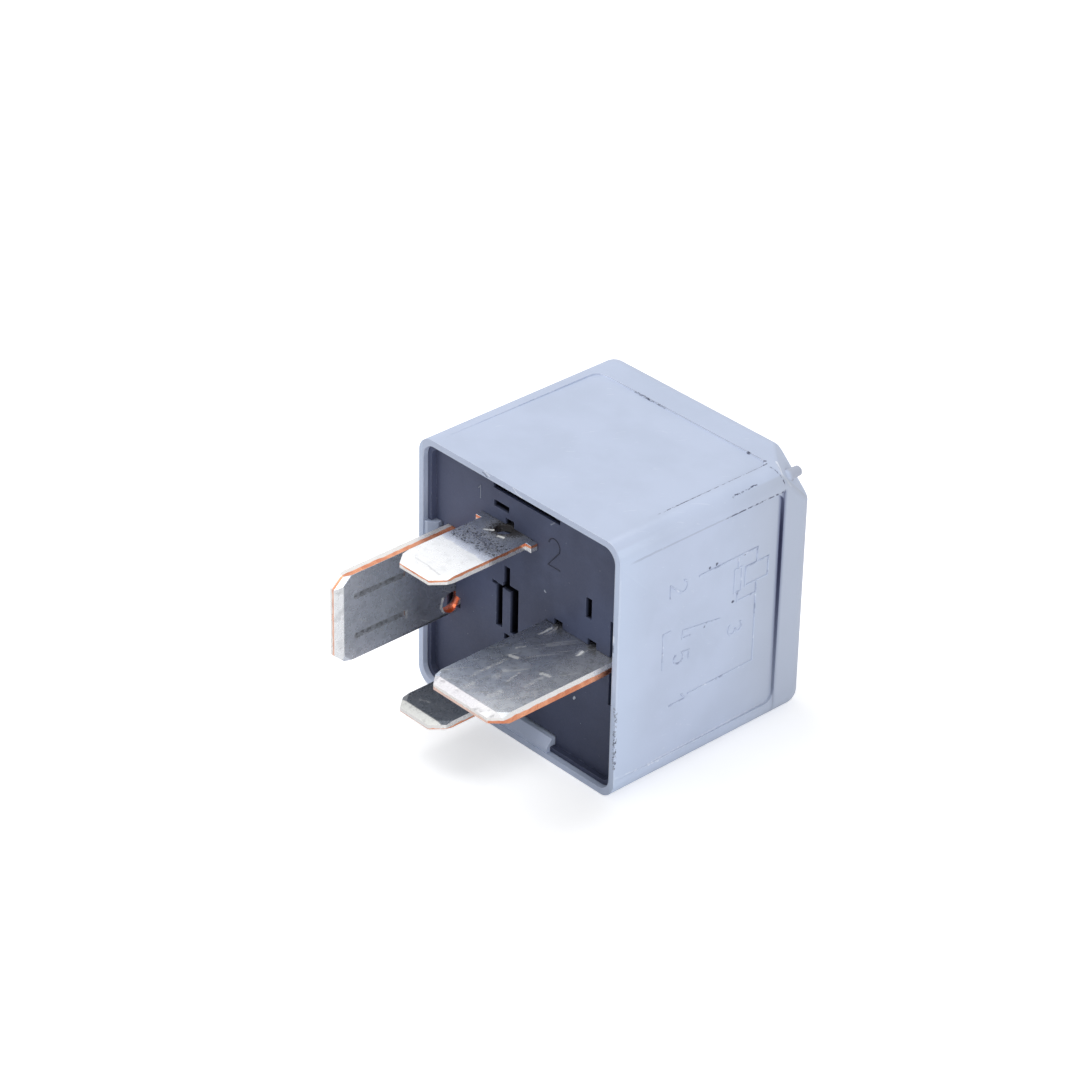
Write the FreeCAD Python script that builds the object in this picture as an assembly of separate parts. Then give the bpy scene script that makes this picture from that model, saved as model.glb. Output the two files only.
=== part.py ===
import FreeCAD, Part
import math
import os

# Four-blade mini relay lying on its side: blades towards -Y, closed end of the cover towards +Y.
# Worked out from the centre of the cover's mouth, then moved so that the origin is at the bottom
# centre of the whole part. Millimetres.

V = FreeCAD.Vector
X_AXIS = V(1, 0, 0)
Y_AXIS = V(0, 1, 0)
Z_AXIS = V(0, 0, 1)

# Cover
cover_width = 28.0
cover_height = 28.0
cover_depth = 25.7
cover_wall = 1.0
mouth_wall = 0.65
corner_radius = 1.8
end_radius_less = 0.02
mouth_radius = 1.5
inner_radius = 1.3
end_rim = 4.3
panel_border = 2.2
panel_depth = 0.3
top_panel_depth = 0.16
panel_corner = 1.2

# Slanted corner facet with the pip of the moulding gate
gate_leg_x = 6.0
gate_leg_y = 5.2
gate_leg_z = 5.5
gate_pip_inset_x = 1.4
gate_pip_inset_z = 1.7
gate_edge_radius = 0.7
gate_pip_short = 0.9
gate_pip_length = 2.8
gate_pip_radius = 0.64
gate_pip_tip_radius = 0.5
gate_pip_chamfer = 0.22

# Snap ribs inside the cover's mouth, and the notches and catches of the base
latch_width = 9.2
near_rib_height = 0.95
near_rib_start_y = 0.1
deep_rib_height = 0.45
deep_rib_start_y = 2.0
latch_rib_end_y = 3.0
latch_rib_slope = 0.7
latch_rib_fall_share = 0.85
latch_notch_depth = 1.25
latch_catch_width = 2.4
latch_catch_offset = 2.9
latch_catch_overlap = 0.25
latch_catch_face = 0.5

# Base
base_recess = 1.2
base_thickness = 3.0
base_flange = 0.8
front_lip_y = 0.55
front_lip_wall = 0.5
base_lip_height = 1.2
base_lip_wall = 0.9
base_slot_depth = 2.2
fit_gap = 0.05

# Shallow moulded slots of the base: x from, x to, z from, z to, from the place named
coil_place_slot = (-2.25, -0.1, 1.75, 2.45)
feed_place_slot = (0.72, 1.52, 3.5, 5.75)
middle_place_x = -2.5
middle_place_slots = [
    (-0.48, 0.35, 1.2, 3.85),
    (-2.17, -1.5, 1.2, 1.56),
    (-1.55, -0.65, -3.3, 1.5),
    (0.45, 1.6, -3.3, 1.95),
    (-0.65, 1.6, 1.25, 1.95),
    (-0.4, 0.5, -4.35, -3.7),
]

# Blade terminals
wide_width = 9.5
wide_thickness = 1.2
narrow_width = 6.3
narrow_thickness = 0.8
load_blade_inset = 2.43
feed_blade_inset = 5.32
coil_blade_x = -2.3
coil_blade_inset = 4.95
wide_reach = 13.8
narrow_reach = 10.75
wide_corner_across = 1.05
wide_corner_along = 1.15
narrow_corner_across = 1.1
narrow_corner_along = 1.35
wide_bevel = 0.95
narrow_bevel = 0.9
corner_bevel = 0.5
wide_tip_edge = 0.6
narrow_tip_edge = 0.5
shoulder_extra = 0.75
shoulder_length = 0.85
wide_hole_radius = 1.15
wide_hole_y = 0.75
wide_hole_side = 3.45
narrow_hole_radius = 0.9
narrow_hole_y = 0.5
groove_half_spacing = 2.2
groove_width = 0.55
groove_depth = 0.1
groove_from_tip = 2.4
groove_length = 6.1
barb_height = 0.32
barb_width = 0.5
barb_length = 1.7
barb_from_base = 0.3
barb_room_side = 0.35
barb_room_height = 0.75
barb_room_depth = 0.9
feed_barb_left = 3.0
feed_barb_right = 1.65

# Magnet frame and coil
head_room = 4.5
frame_thickness = 1.8
frame_inset = 2.7
frame_foot_reach = 5.5
frame_width = 12.0
frame_bend = 0.5
horn_width = 1.0
horn_height = 1.3
lug_width = 2.0
lug_depth = 1.4
lug_z = 4.8
core_share = 0.47
core_neck_share = 0.5
core_stake_flare = 0.4
core_stake_height = 0.7
stake_room = 0.3
pole_overhang = 1.6
pole_thickness = 1.3
pole_chamfer = 0.25
pole_gap = 0.05
flange_gap_frame = 0.8
flange_gap_load = 3.27
flange_gap_tail = 0.45
flange_radius = 1.2
flange_thickness = 1.1
bobbin_wall = 0.8
winding_inset = 0.4
last_layer_thickness = 0.22
last_layer_short = 2.3
lead_radius = 0.2
lead_rise = 0.7
lead_sink = 0.8
wrap_turns = 2
wrap_pitch = 0.4
wrap_relief = 0.1

# Armature, contact spring and contacts
open_angle = 3.0
armature_thickness = 1.6
armature_width = 11.5
armature_from_contact = 2.6
armature_end_width = 7.0
armature_taper = 3.0
heel_chamfer = 0.7
horn_gap = 0.2
spring_thickness = 0.25
spring_width = 8.0
spring_end_width = 4.0
spring_end_reach = 1.9
spring_foot_drop = 7.2
spring_jog = 0.65
spring_jog_top = 0.9
spring_jog_foot = 1.8
spring_heel_drop = 0.8
spring_bend = 0.5
spring_taper_start = 2.5
spring_taper_end = 1.0
contact_from_arm_end = 1.5
moving_contact_radius = 1.5
moving_contact_height = 1.0
fixed_contact_radius = 1.6
fixed_contact_height = 0.9
contact_edge = 0.3
contact_stem_radius = 0.7
contact_cap_radius = 1.0
contact_cap_height = 0.35
contact_gap = 0.05
rivet_radius = 0.9
rivet_head_radius = 1.5
rivet_head_height = 0.45
armature_rivet_from_coil = 4.0
armature_rivet_z = 2.2
spring_rivet_drop = 4.6
spring_rivet_z = 2.2

# Inner ends of the terminals, the stop bridge and the resistor
load_stem_width = 7.0
load_arm_width = 5.2
load_arm_gap = 0.4
load_arm_neck = 2.0
load_bend = 0.3
feed_tang_drop = 1.8
feed_tang_z = 5.4
feed_tang_lift = 0.4
feed_rivet_drop = 2.4
feed_rivet_z = 3.2
coil_tail_width = 1.2
coil_tail_offset = -1.8
coil_tail_rise = 5.6
bridge_arm_width = 1.2
bridge_inner_z = 4.4
bridge_length_x = 1.8
bridge_thickness = 0.7
bridge_gap = 0.12
resistor_gap = 0.47
resistor_lift = 0.25
resistor_radius = 1.2
resistor_waist = 0.12
resistor_cap = 1.3
resistor_edge = 0.3
resistor_length = 6.3
resistor_lead_radius = 0.3
resistor_lead_bend = 0.8
resistor_lead_runs = 3

# Longer than any piece: for cuts that go right through
through = 2 * (cover_depth + wide_reach)

# Places worked out from the sizes above
half_width = cover_width / 2
half_height = cover_height / 2
mouth_x = half_width - mouth_wall
mouth_z = half_height - mouth_wall
cavity_x = half_width - cover_wall
cavity_z = half_height - cover_wall
cavity_end_y = cover_depth - cover_wall
panel_step_y = cover_depth - end_rim
base_in_y = base_recess + base_thickness
seat_y = base_recess + base_flange
load_blade_x = load_blade_inset - cavity_x
load_inner_x = load_blade_x + wide_thickness / 2
feed_blade_x = cavity_x - feed_blade_inset
coil_blade_z = cavity_z - coil_blade_inset
coil_tail_x = coil_blade_x + coil_tail_offset
frame_leg_x = cavity_x - frame_inset
frame_inner_x = frame_leg_x - frame_thickness
frame_height = cavity_end_y - head_room
foot_top_y = base_in_y + frame_thickness
flange_half_x = (frame_inner_x - flange_gap_frame - load_inner_x - flange_gap_load) / 2
flange_half_z = coil_blade_z - narrow_thickness / 2 - flange_gap_tail
winding_radius = min(flange_half_x, flange_half_z) - winding_inset
core_radius = winding_radius * core_share
core_neck_radius = core_radius * core_neck_share
coil_x = frame_inner_x - flange_gap_frame - flange_half_x
frame_foot_x = coil_x - frame_foot_reach
bobbin_top_y = frame_height - pole_gap - pole_thickness
arm_bottom_y = frame_height
arm_top_y = arm_bottom_y + armature_thickness
armature_rivet_x = coil_x + armature_rivet_from_coil
strip_top_y = arm_top_y + spring_thickness
cap_top_y = strip_top_y + contact_cap_height
load_arm_end_x = coil_x - flange_half_x - load_arm_gap
contact_x = load_arm_end_x - contact_from_arm_end
armature_end_x = contact_x + armature_from_contact
spring_end_x = contact_x - spring_end_reach
spring_foot_y = frame_height - spring_foot_drop
spring_rivet_y = frame_height - spring_rivet_drop
feed_tang_top_y = spring_foot_y - feed_tang_drop
feed_rivet_y = feed_tang_top_y - feed_rivet_drop
fixed_top_y = arm_top_y - moving_contact_height - contact_gap
load_arm_top_y = fixed_top_y - fixed_contact_height
resistor_x = load_inner_x + resistor_gap + resistor_radius
resistor_y = base_in_y + resistor_lift + resistor_radius
pivot = V(frame_leg_x, frame_height, 0)
open_lift = (frame_leg_x - contact_x) * math.sin(math.radians(open_angle))
bridge_y = cap_top_y + open_lift + bridge_gap
overall_mid_y = (cover_depth - wide_reach) / 2

# The four walls: turn about Y from the +X wall, distance to the outer face, half of its breadth,
# depth of its panel, and the start and height of its snap rib
walls = [
    (0, half_width, half_height, panel_depth, deep_rib_start_y, deep_rib_height),
    (90, half_height, half_width, panel_depth, near_rib_start_y, near_rib_height),
    (180, half_width, half_height, panel_depth, near_rib_start_y, near_rib_height),
    (270, half_height, half_width, top_panel_depth, deep_rib_start_y, deep_rib_height),
]


def box(x0, x1, y0, y1, z0, z1):
    return Part.makeBox(x1 - x0, y1 - y0, z1 - z0, V(x0, y0, z0))


def rod(radius, start, length, axis):
    return Part.makeCylinder(radius, length, start, axis)


def prism(points, direction):
    return Part.Face(Part.makePolygon(points + [points[0]])).extrude(direction)


def rounded_bar(x_half, z_half, radius, y0, y1):
    # a bar along Y with its four long edges rounded
    bar = box(-x_half, x_half, y0, y1, -z_half, z_half)
    edges = [e for e in bar.Edges if abs(e.Length - (y1 - y0)) < 1e-6 and is_along_y(e)]
    return bar.makeFillet(radius, edges)


def is_along_y(edge):
    a, b = edge.Vertexes[0].Point, edge.Vertexes[-1].Point
    return abs(a.x - b.x) < 1e-6 and abs(a.z - b.z) < 1e-6


def edges_at_y(solid, y):
    return [e for e in solid.Edges if all(abs(v.Point.y - y) < 1e-6 for v in e.Vertexes)]


def turn(shape, degrees, centre=V(0, 0, 0), axis=Z_AXIS):
    copy = shape.copy()
    copy.rotate(centre, axis, degrees)
    return copy


def beyond_gate_plane(inset):
    # everything outside the slanted corner facet, which is moved in by inset
    normal = V(1 / gate_leg_x, 1 / gate_leg_y, 1 / gate_leg_z)
    normal.normalize()
    on_plane = V(half_width - gate_leg_x, cover_depth, half_height)
    offset = normal.dot(on_plane) - inset
    outer = V(half_width + gate_leg_x, cover_depth + gate_leg_y, half_height + gate_leg_z)
    reach = normal.dot(outer) - offset
    corners = [
        outer - X_AXIS * (reach / normal.x),
        outer - Y_AXIS * (reach / normal.y),
        outer - Z_AXIS * (reach / normal.z),
    ]
    return prism(corners, normal * reach)


def gate_facet_edges(shell):
    middle = V(half_width - gate_leg_x / 3, cover_depth - gate_leg_y / 3, half_height - gate_leg_z / 3)
    facet = min(shell.Faces, key=lambda f: (f.CenterOfMass - middle).Length)
    return facet.Edges


def gate_pip():
    # the short tapered pip left by the moulding gate, standing on the corner facet
    end_y = cover_depth - gate_pip_short
    start = V(half_width - gate_pip_inset_x, end_y - gate_pip_length, half_height - gate_pip_inset_z)
    cone = Part.makeCone(gate_pip_radius, gate_pip_tip_radius, gate_pip_length, start, Y_AXIS)
    return cone.makeChamfer(gate_pip_chamfer, edges_at_y(cone, end_y))


def panel_wedge(face, half_breadth, depth):
    # drafted recess: nothing at the mouth, full depth at the step by the end rim
    half = half_breadth - panel_border
    points = [
        V(face, 0, -half),
        V(face + cover_wall, 0, -half),
        V(face + cover_wall, panel_step_y, -half),
        V(face - depth, panel_step_y, -half),
    ]
    wedge = prism(points, Z_AXIS * (2 * half))
    far = [e for e in edges_at_y(wedge, panel_step_y) if abs(e.BoundBox.ZLength) < 1e-6]
    return wedge.makeFillet(panel_corner, far)


def latch_rib(face, start_y, height):
    # snap rib on a wall, with a lead-in slope at the mouth side
    inner = face - cover_wall - height
    rooted = face - cover_wall / 2
    points = [
        V(rooted, start_y, -latch_width / 2),
        V(inner + height * latch_rib_fall_share, start_y, -latch_width / 2),
        V(inner, start_y + latch_rib_slope, -latch_width / 2),
        V(inner, latch_rib_end_y, -latch_width / 2),
        V(rooted, latch_rib_end_y, -latch_width / 2),
    ]
    return prism(points, Z_AXIS * latch_width)


def make_cover():
    bar = rounded_bar(half_width, half_height, corner_radius, 0, cover_depth)
    shell = bar.makeFillet(corner_radius - end_radius_less, edges_at_y(bar, cover_depth))
    shell = shell.cut(beyond_gate_plane(0))
    shell = shell.makeFillet(gate_edge_radius, gate_facet_edges(shell)).fuse(gate_pip())
    mouth = rounded_bar(mouth_x, mouth_z, mouth_radius, -through, seat_y)
    cavity = rounded_bar(cavity_x, cavity_z, inner_radius, -through, cavity_end_y)
    cavity = cavity.cut(beyond_gate_plane(cover_wall))
    shell = shell.cut(mouth).cut(cavity)
    for angle, face, half_breadth, depth, rib_start_y, rib_height in walls:
        shell = shell.cut(turn(panel_wedge(face, half_breadth, depth), angle, axis=Y_AXIS))
        shell = shell.fuse(turn(latch_rib(face, rib_start_y, rib_height), angle, axis=Y_AXIS))
    return shell.removeSplitter()


def latch_notch(face):
    # room for a snap rib in the edge of the base
    half = latch_width / 2 + fit_gap
    return box(face - cover_wall - latch_notch_depth, face, 0, through, -half, half)


def latch_catches(face, rib_height):
    # two catches in each notch that hook behind the cover's rib
    inner = face - cover_wall - latch_notch_depth - fit_gap
    outer = face - cover_wall - rib_height + latch_catch_overlap
    catches = []
    for z in (-latch_catch_offset, latch_catch_offset):
        points = [
            V(inner, latch_rib_end_y + fit_gap, z - latch_catch_width / 2),
            V(outer, latch_rib_end_y + fit_gap, z - latch_catch_width / 2),
            V(outer, latch_rib_end_y + latch_catch_face, z - latch_catch_width / 2),
            V(inner, base_in_y, z - latch_catch_width / 2),
        ]
        catches.append(prism(points, Z_AXIS * latch_catch_width))
    return catches


def blind_slot(place_x, place_z, edges):
    x0, x1, z0, z1 = edges
    depth = base_recess + base_slot_depth
    return box(place_x + x0, place_x + x1, 0, depth, place_z + z0, place_z + z1)


def blade_hole(width, thickness):
    half = width / 2 + fit_gap
    return box(-half, half, 0, through, -thickness / 2 - fit_gap, thickness / 2 + fit_gap)


def barb_relief(width_at, thickness):
    # small pit in the base's face over each lanced barb
    half = barb_width / 2 + barb_room_side
    return box(width_at - half, width_at + half, 0, base_recess + barb_room_depth, 0,
               thickness / 2 + barb_room_height)


def to_load_place(shape):
    return turn(shape, 90, axis=Y_AXIS).translate(V(load_blade_x, 0, 0))


def make_base():
    out_x, out_z = mouth_x - fit_gap, mouth_z - fit_gap
    flange = rounded_bar(out_x, out_z, mouth_radius - fit_gap, front_lip_y, seat_y - fit_gap)
    front = rounded_bar(out_x - front_lip_wall, out_z - front_lip_wall,
                        mouth_radius - fit_gap - front_lip_wall, 0, base_recess)
    body_x, body_z = cavity_x - fit_gap, cavity_z - fit_gap
    plate = rounded_bar(body_x, body_z, inner_radius, base_recess, base_in_y)
    lip = rounded_bar(body_x, body_z, inner_radius, base_in_y, base_in_y + base_lip_height)
    lip = lip.cut(rounded_bar(body_x - base_lip_wall, body_z - base_lip_wall, inner_radius - base_lip_wall,
                              0, through))
    body = flange.cut(front).fuse([plate, lip])
    for angle, face, _, _, _, rib_height in walls:
        body = body.cut(turn(latch_notch(face), angle, axis=Y_AXIS))
        for catch in latch_catches(face, rib_height):
            body = body.fuse(turn(catch, angle, axis=Y_AXIS))
    body = body.cut(blind_slot(coil_blade_x, coil_blade_z, coil_place_slot))
    body = body.cut(blind_slot(feed_blade_x, 0, feed_place_slot))
    for edges in middle_place_slots:
        body = body.cut(blind_slot(middle_place_x, 0, edges))
    body = body.cut(to_load_place(blade_hole(wide_width, wide_thickness)))
    body = body.cut(to_load_place(barb_relief(wide_hole_side, wide_thickness)))
    feed = blade_hole(wide_width, wide_thickness)
    feed.translate(V(feed_blade_x, 0, 0))
    body = body.cut(feed)
    for offset in (-feed_barb_left, feed_barb_right):
        body = body.cut(barb_relief(feed_blade_x + offset, wide_thickness))
    for sign in (-1, 1):
        coil = blade_hole(narrow_width, narrow_thickness)
        coil.translate(V(coil_blade_x, 0, sign * coil_blade_z))
        body = body.cut(coil)
        relief = barb_relief(coil_blade_x, narrow_thickness)
        relief.translate(V(0, 0, sign * coil_blade_z))
        body = body.cut(relief)
        body = body.cut(frame_lug(sign, fit_gap))
    stake_start = V(coil_x, base_in_y - core_stake_height - fit_gap, 0)
    stake_hole_radius = core_neck_radius + core_stake_flare + stake_room
    body = body.cut(rod(stake_hole_radius, stake_start, through, Y_AXIS))
    return body.removeSplitter()


def thinned_slab(thickness, tip_edge, reach, bevel):
    # endless slab across Y, thinned from both faces towards its end at -Y
    side = [
        V(-through, through, -thickness / 2),
        V(-through, bevel - reach, -thickness / 2),
        V(-through, -reach, -tip_edge / 2),
        V(-through, -reach, tip_edge / 2),
        V(-through, bevel - reach, thickness / 2),
        V(-through, through, thickness / 2),
    ]
    return prism(side, X_AXIS * (2 * through))


def blade(width, thickness, reach, corner_across, corner_along, bevel, tip_edge):
    # flat blade along Y with cut corners, thinned round its tip from both faces
    half = width / 2
    plan = [
        V(-half, base_in_y, -thickness / 2),
        V(-half, corner_along - reach, -thickness / 2),
        V(corner_across - half, -reach, -thickness / 2),
        V(half - corner_across, -reach, -thickness / 2),
        V(half, corner_along - reach, -thickness / 2),
        V(half, base_in_y, -thickness / 2),
    ]
    shape = prism(plan, Z_AXIS * thickness).common(thinned_slab(thickness, tip_edge, reach, bevel))
    corner_turn = math.degrees(math.atan2(corner_along, corner_across))
    corner_reach = (half * corner_along + (reach - corner_along) * corner_across) / math.hypot(
        corner_across, corner_along)
    corner_slab = thinned_slab(thickness, tip_edge, corner_reach, corner_bevel)
    for sign in (-1, 1):
        shape = shape.common(turn(corner_slab, sign * corner_turn))
    return shape


def wide_blade():
    return blade(wide_width, wide_thickness, wide_reach, wide_corner_across, wide_corner_along, wide_bevel,
                 wide_tip_edge)


def narrow_blade():
    return blade(narrow_width, narrow_thickness, narrow_reach, narrow_corner_across, narrow_corner_along,
                 narrow_bevel, narrow_tip_edge)


def barb(width_at, thickness):
    # lanced tab that rises towards the base
    edge = width_at - barb_width / 2
    end_y = base_recess - barb_from_base
    rooted = thickness / 2 - fit_gap
    points = [
        V(edge, end_y - barb_length, rooted),
        V(edge, end_y - barb_length, thickness / 2),
        V(edge, end_y, thickness / 2 + barb_height),
        V(edge, end_y, rooted),
    ]
    return prism(points, X_AXIS * barb_width)


def sheet_section(points, thickness, bend, plane):
    # section of a bent sheet: the points are one side, the sheet lies to the left of the path
    left = offset_path(points, thickness)
    near_radii = []
    far_radii = []
    for before, at, after in zip(points, points[1:], points[2:]):
        turns_left = cross(before, at, after) > 0
        near_radii.append(bend + thickness if turns_left else bend)
        far_radii.append(bend if turns_left else bend + thickness)
    near = rounded_path(points, near_radii, plane)
    far = rounded_path(left, far_radii, plane)
    caps = [
        Part.makeLine(plane(points[-1]), plane(left[-1])),
        Part.makeLine(plane(left[0]), plane(points[0])),
    ]
    ordered = Part.sortEdges(near + far + caps)[0]
    return Part.Face(Part.Wire(ordered))


def cross(a, b, c):
    return (b[0] - a[0]) * (c[1] - b[1]) - (b[1] - a[1]) * (c[0] - b[0])


def unit(a, b):
    length = math.hypot(b[0] - a[0], b[1] - a[1])
    return (b[0] - a[0]) / length, (b[1] - a[1]) / length


def offset_path(points, distance):
    result = []
    for i, point in enumerate(points):
        normals = []
        if i > 0:
            ux, uy = unit(points[i - 1], point)
            normals.append((-uy, ux))
        if i < len(points) - 1:
            ux, uy = unit(point, points[i + 1])
            normals.append((-uy, ux))
        nx = sum(n[0] for n in normals)
        ny = sum(n[1] for n in normals)
        scale = distance * len(normals) / (nx * nx + ny * ny)
        result.append((point[0] + nx * scale, point[1] + ny * scale))
    return result


def rounded_path(points, radii, plane):
    # straight runs joined by tangent arcs of the given radii
    edges = []
    start = points[0]
    for i, radius in enumerate(radii, 1):
        before, at, after = points[i - 1], points[i], points[i + 1]
        ux, uy = unit(at, before)
        wx, wy = unit(at, after)
        half = math.acos(max(-1, min(1, ux * wx + uy * wy))) / 2
        back = radius / math.tan(half)
        first = (at[0] + ux * back, at[1] + uy * back)
        last = (at[0] + wx * back, at[1] + wy * back)
        mx, my = ux + wx, uy + wy
        size = math.hypot(mx, my)
        deep = radius / math.sin(half) - radius
        middle = (at[0] + mx / size * deep, at[1] + my / size * deep)
        edges.append(Part.makeLine(plane(start), plane(first)))
        edges.append(Part.Arc(plane(first), plane(middle), plane(last)).toShape())
        start = last
    edges.append(Part.makeLine(plane(start), plane(points[-1])))
    return edges


def make_load_terminal():
    # wide blade on the -X side; its inner end rises past the coil and folds over for the contact
    shape = wide_blade()
    groove_y = groove_from_tip - wide_reach
    for sign in (-1, 1):
        z = sign * groove_half_spacing
        shape = shape.cut(box(z - groove_width / 2, z + groove_width / 2, groove_y, groove_y + groove_length,
                              wide_thickness / 2 - groove_depth, wide_thickness))
    hole = rod(wide_hole_radius, V(wide_hole_side, wide_hole_y, -wide_thickness), 2 * wide_thickness, Z_AXIS)
    shape = to_load_place(shape.cut(hole))
    outer_x = load_blade_x - wide_thickness / 2
    path = [(load_arm_end_x, load_arm_top_y), (outer_x, load_arm_top_y), (outer_x, base_in_y)]
    half = load_stem_width / 2
    face = sheet_section(path, wide_thickness, load_bend, lambda p: V(p[0], p[1], -half))
    stem = face.extrude(Z_AXIS * load_stem_width)
    neck_y = load_arm_top_y - wide_thickness - load_arm_neck
    for sign in (-1, 1):
        z0, z1 = sorted((sign * load_arm_width / 2, sign * load_stem_width))
        stem = stem.cut(box(-through, through, neck_y, through, z0, z1))
    drill = rod(contact_stem_radius + fit_gap, V(contact_x, neck_y, 0), through, Y_AXIS)
    return shape.fuse(stem).cut(drill).removeSplitter()


def make_feed_terminal():
    # wide blade on the +X side; its inner end folds flat against the magnet frame
    shape = wide_blade()
    for offset in (-feed_barb_left, feed_barb_right):
        shape = shape.fuse(barb(offset, wide_thickness))
    shape.translate(V(feed_blade_x, 0, 0))
    edge_x = feed_blade_x + wide_width / 2
    near_x = frame_leg_x + fit_gap
    low_z = -wide_thickness / 2
    path = [(near_x, feed_tang_z), (near_x, low_z), (edge_x, low_z)]
    face = sheet_section(path, wide_thickness, load_bend, lambda p: V(p[0], base_in_y, p[1]))
    tang = face.extrude(Y_AXIS * (feed_tang_top_y - base_in_y))
    drill = rod(rivet_radius + fit_gap, V(frame_inner_x, feed_rivet_y, feed_rivet_z), through, X_AXIS)
    lift = box(frame_inner_x, near_x + wide_thickness, 0, base_in_y + feed_tang_lift,
               wide_thickness / 2, feed_tang_z)
    return shape.fuse(tang).cut(drill).cut(lift).removeSplitter()


def make_coil_terminal(sign):
    # narrow blade with shoulders outside the base and a slim tail for the coil wire inside
    shape = narrow_blade()
    half = narrow_width / 2 + shoulder_extra
    thick = narrow_thickness / 2
    shape = shape.fuse(box(-half, half, base_recess - shoulder_length, base_recess, -thick, thick))
    tail = box(coil_tail_offset - coil_tail_width / 2, coil_tail_offset + coil_tail_width / 2,
               base_recess, base_in_y + coil_tail_rise, -thick, thick)
    hole = rod(narrow_hole_radius, V(0, narrow_hole_y, -narrow_thickness), 2 * narrow_thickness, Z_AXIS)
    shape = shape.fuse(tail).cut(hole)
    shape = shape.translate(V(coil_blade_x, 0, sign * coil_blade_z))
    return shape.removeSplitter()


def frame_lug(sign, extra):
    # lug of the frame's foot that sits in the base
    half = lug_width / 2 + extra
    top_y = base_in_y + frame_thickness / 2
    return box(frame_foot_x - extra, frame_foot_x + frame_thickness + extra, base_in_y - lug_depth - extra,
               top_y, sign * lug_z - half, sign * lug_z + half)


def make_frame():
    # L-shaped magnet frame with two horns that keep the armature's heel in place
    path = [(frame_foot_x, base_in_y), (frame_leg_x, base_in_y), (frame_leg_x, frame_height)]
    half = frame_width / 2
    face = sheet_section(path, frame_thickness, frame_bend, lambda p: V(p[0], p[1], -half))
    shape = face.extrude(Z_AXIS * frame_width)
    drill = rivet_radius + fit_gap
    for sign in (-1, 1):
        near, far = sorted((sign * (half - horn_width), sign * half))
        horn = box(frame_inner_x, frame_leg_x, spring_rivet_y, frame_height + horn_height, near, far)
        shape = shape.fuse(horn).fuse(frame_lug(sign, 0))
        shape = shape.cut(rod(drill, V(coil_x, spring_rivet_y, sign * spring_rivet_z), through, X_AXIS))
    shape = shape.cut(rod(drill, V(coil_x, feed_rivet_y, feed_rivet_z), through, X_AXIS))
    shape = shape.cut(rod(core_neck_radius + fit_gap, V(coil_x, 0, 0), through, Y_AXIS))
    return shape.removeSplitter()


def make_core():
    # round core: staked end, neck, shank and pole head
    head_y = bobbin_top_y
    core = rod(core_radius, V(coil_x, foot_top_y, 0), head_y - foot_top_y, Y_AXIS)
    neck = rod(core_neck_radius, V(coil_x, base_in_y, 0), frame_thickness, Y_AXIS)
    stake = Part.makeCone(core_neck_radius, core_neck_radius + core_stake_flare, core_stake_height,
                          V(coil_x, base_in_y - core_stake_height, 0), Y_AXIS)
    pole = rod(core_radius + pole_overhang, V(coil_x, head_y, 0), pole_thickness, Y_AXIS)
    pole = pole.makeChamfer(pole_chamfer, edges_at_y(pole, head_y + pole_thickness))
    return core.fuse([neck, stake, pole]).removeSplitter()


def bobbin_flange(y0):
    flange = rounded_bar(flange_half_x, flange_half_z, flange_radius, y0, y0 + flange_thickness)
    return flange.translate(V(coil_x, 0, 0))


def stop_bridge():
    # gantry moulded on the bobbin's top flange: the open armature's contact rests under it
    low = bobbin_top_y - flange_thickness
    end_x = contact_x - bridge_length_x / 2
    shapes = []
    for sign in (-1, 1):
        z0, z1 = sorted((sign * bridge_inner_z, sign * (bridge_inner_z + bridge_arm_width)))
        shapes.append(box(end_x, coil_x - flange_half_x + flange_radius, low, bobbin_top_y, z0, z1))
        shapes.append(box(end_x, end_x + bridge_length_x, low, bridge_y + bridge_thickness, z0, z1))
    reach = bridge_inner_z + bridge_arm_width
    shapes.append(box(end_x, end_x + bridge_length_x, bridge_y, bridge_y + bridge_thickness, -reach, reach))
    return shapes


def make_bobbin():
    tube_radius = core_radius + fit_gap + bobbin_wall
    tube = rod(tube_radius, V(coil_x, foot_top_y, 0), bobbin_top_y - foot_top_y, Y_AXIS)
    shape = tube.fuse([bobbin_flange(foot_top_y), bobbin_flange(bobbin_top_y - flange_thickness)])
    shape = shape.fuse(stop_bridge())
    shape = shape.cut(rod(core_radius + fit_gap, V(coil_x, 0, 0), through, Y_AXIS))
    return shape.removeSplitter()


def wire_wrap(inner, outer, relief, turns, pitch, start):
    # ring about the Y axis, with one ridge for each turn of wire
    points = [V(inner, 0, 0), V(outer - relief, 0, 0)]
    for turn_number in range(turns):
        ridge_y = (turn_number + 0.5) * pitch
        points.append(V(outer, ridge_y, 0))
        points.append(V(outer - relief, ridge_y + pitch / 2, 0))
    points.append(V(inner, turns * pitch, 0))
    points.append(points[0])
    ring = Part.Face(Part.makePolygon(points)).revolve(V(0, 0, 0), Y_AXIS, 360)
    return ring.translate(start)


def wire_to_tail(sign, y):
    # coil wire from the winding to a terminal's tail, with a few turns round it
    tail = V(coil_tail_x, y, sign * coil_blade_z)
    axis = V(coil_x, y, 0)
    direction = tail - axis
    distance = direction.Length
    direction.normalize()
    start = axis + direction * (winding_radius - lead_sink)
    inner = math.hypot(coil_tail_width, narrow_thickness) / 2 + fit_gap
    wrap_radius = inner + lead_radius
    lead = rod(lead_radius, start, distance - wrap_radius - winding_radius + lead_sink, direction)
    base = tail - Y_AXIS * (wrap_pitch / 2)
    wrap = wire_wrap(inner, inner + 2 * lead_radius, wrap_relief, wrap_turns, wrap_pitch, base)
    return lead.fuse(wrap)


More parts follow.
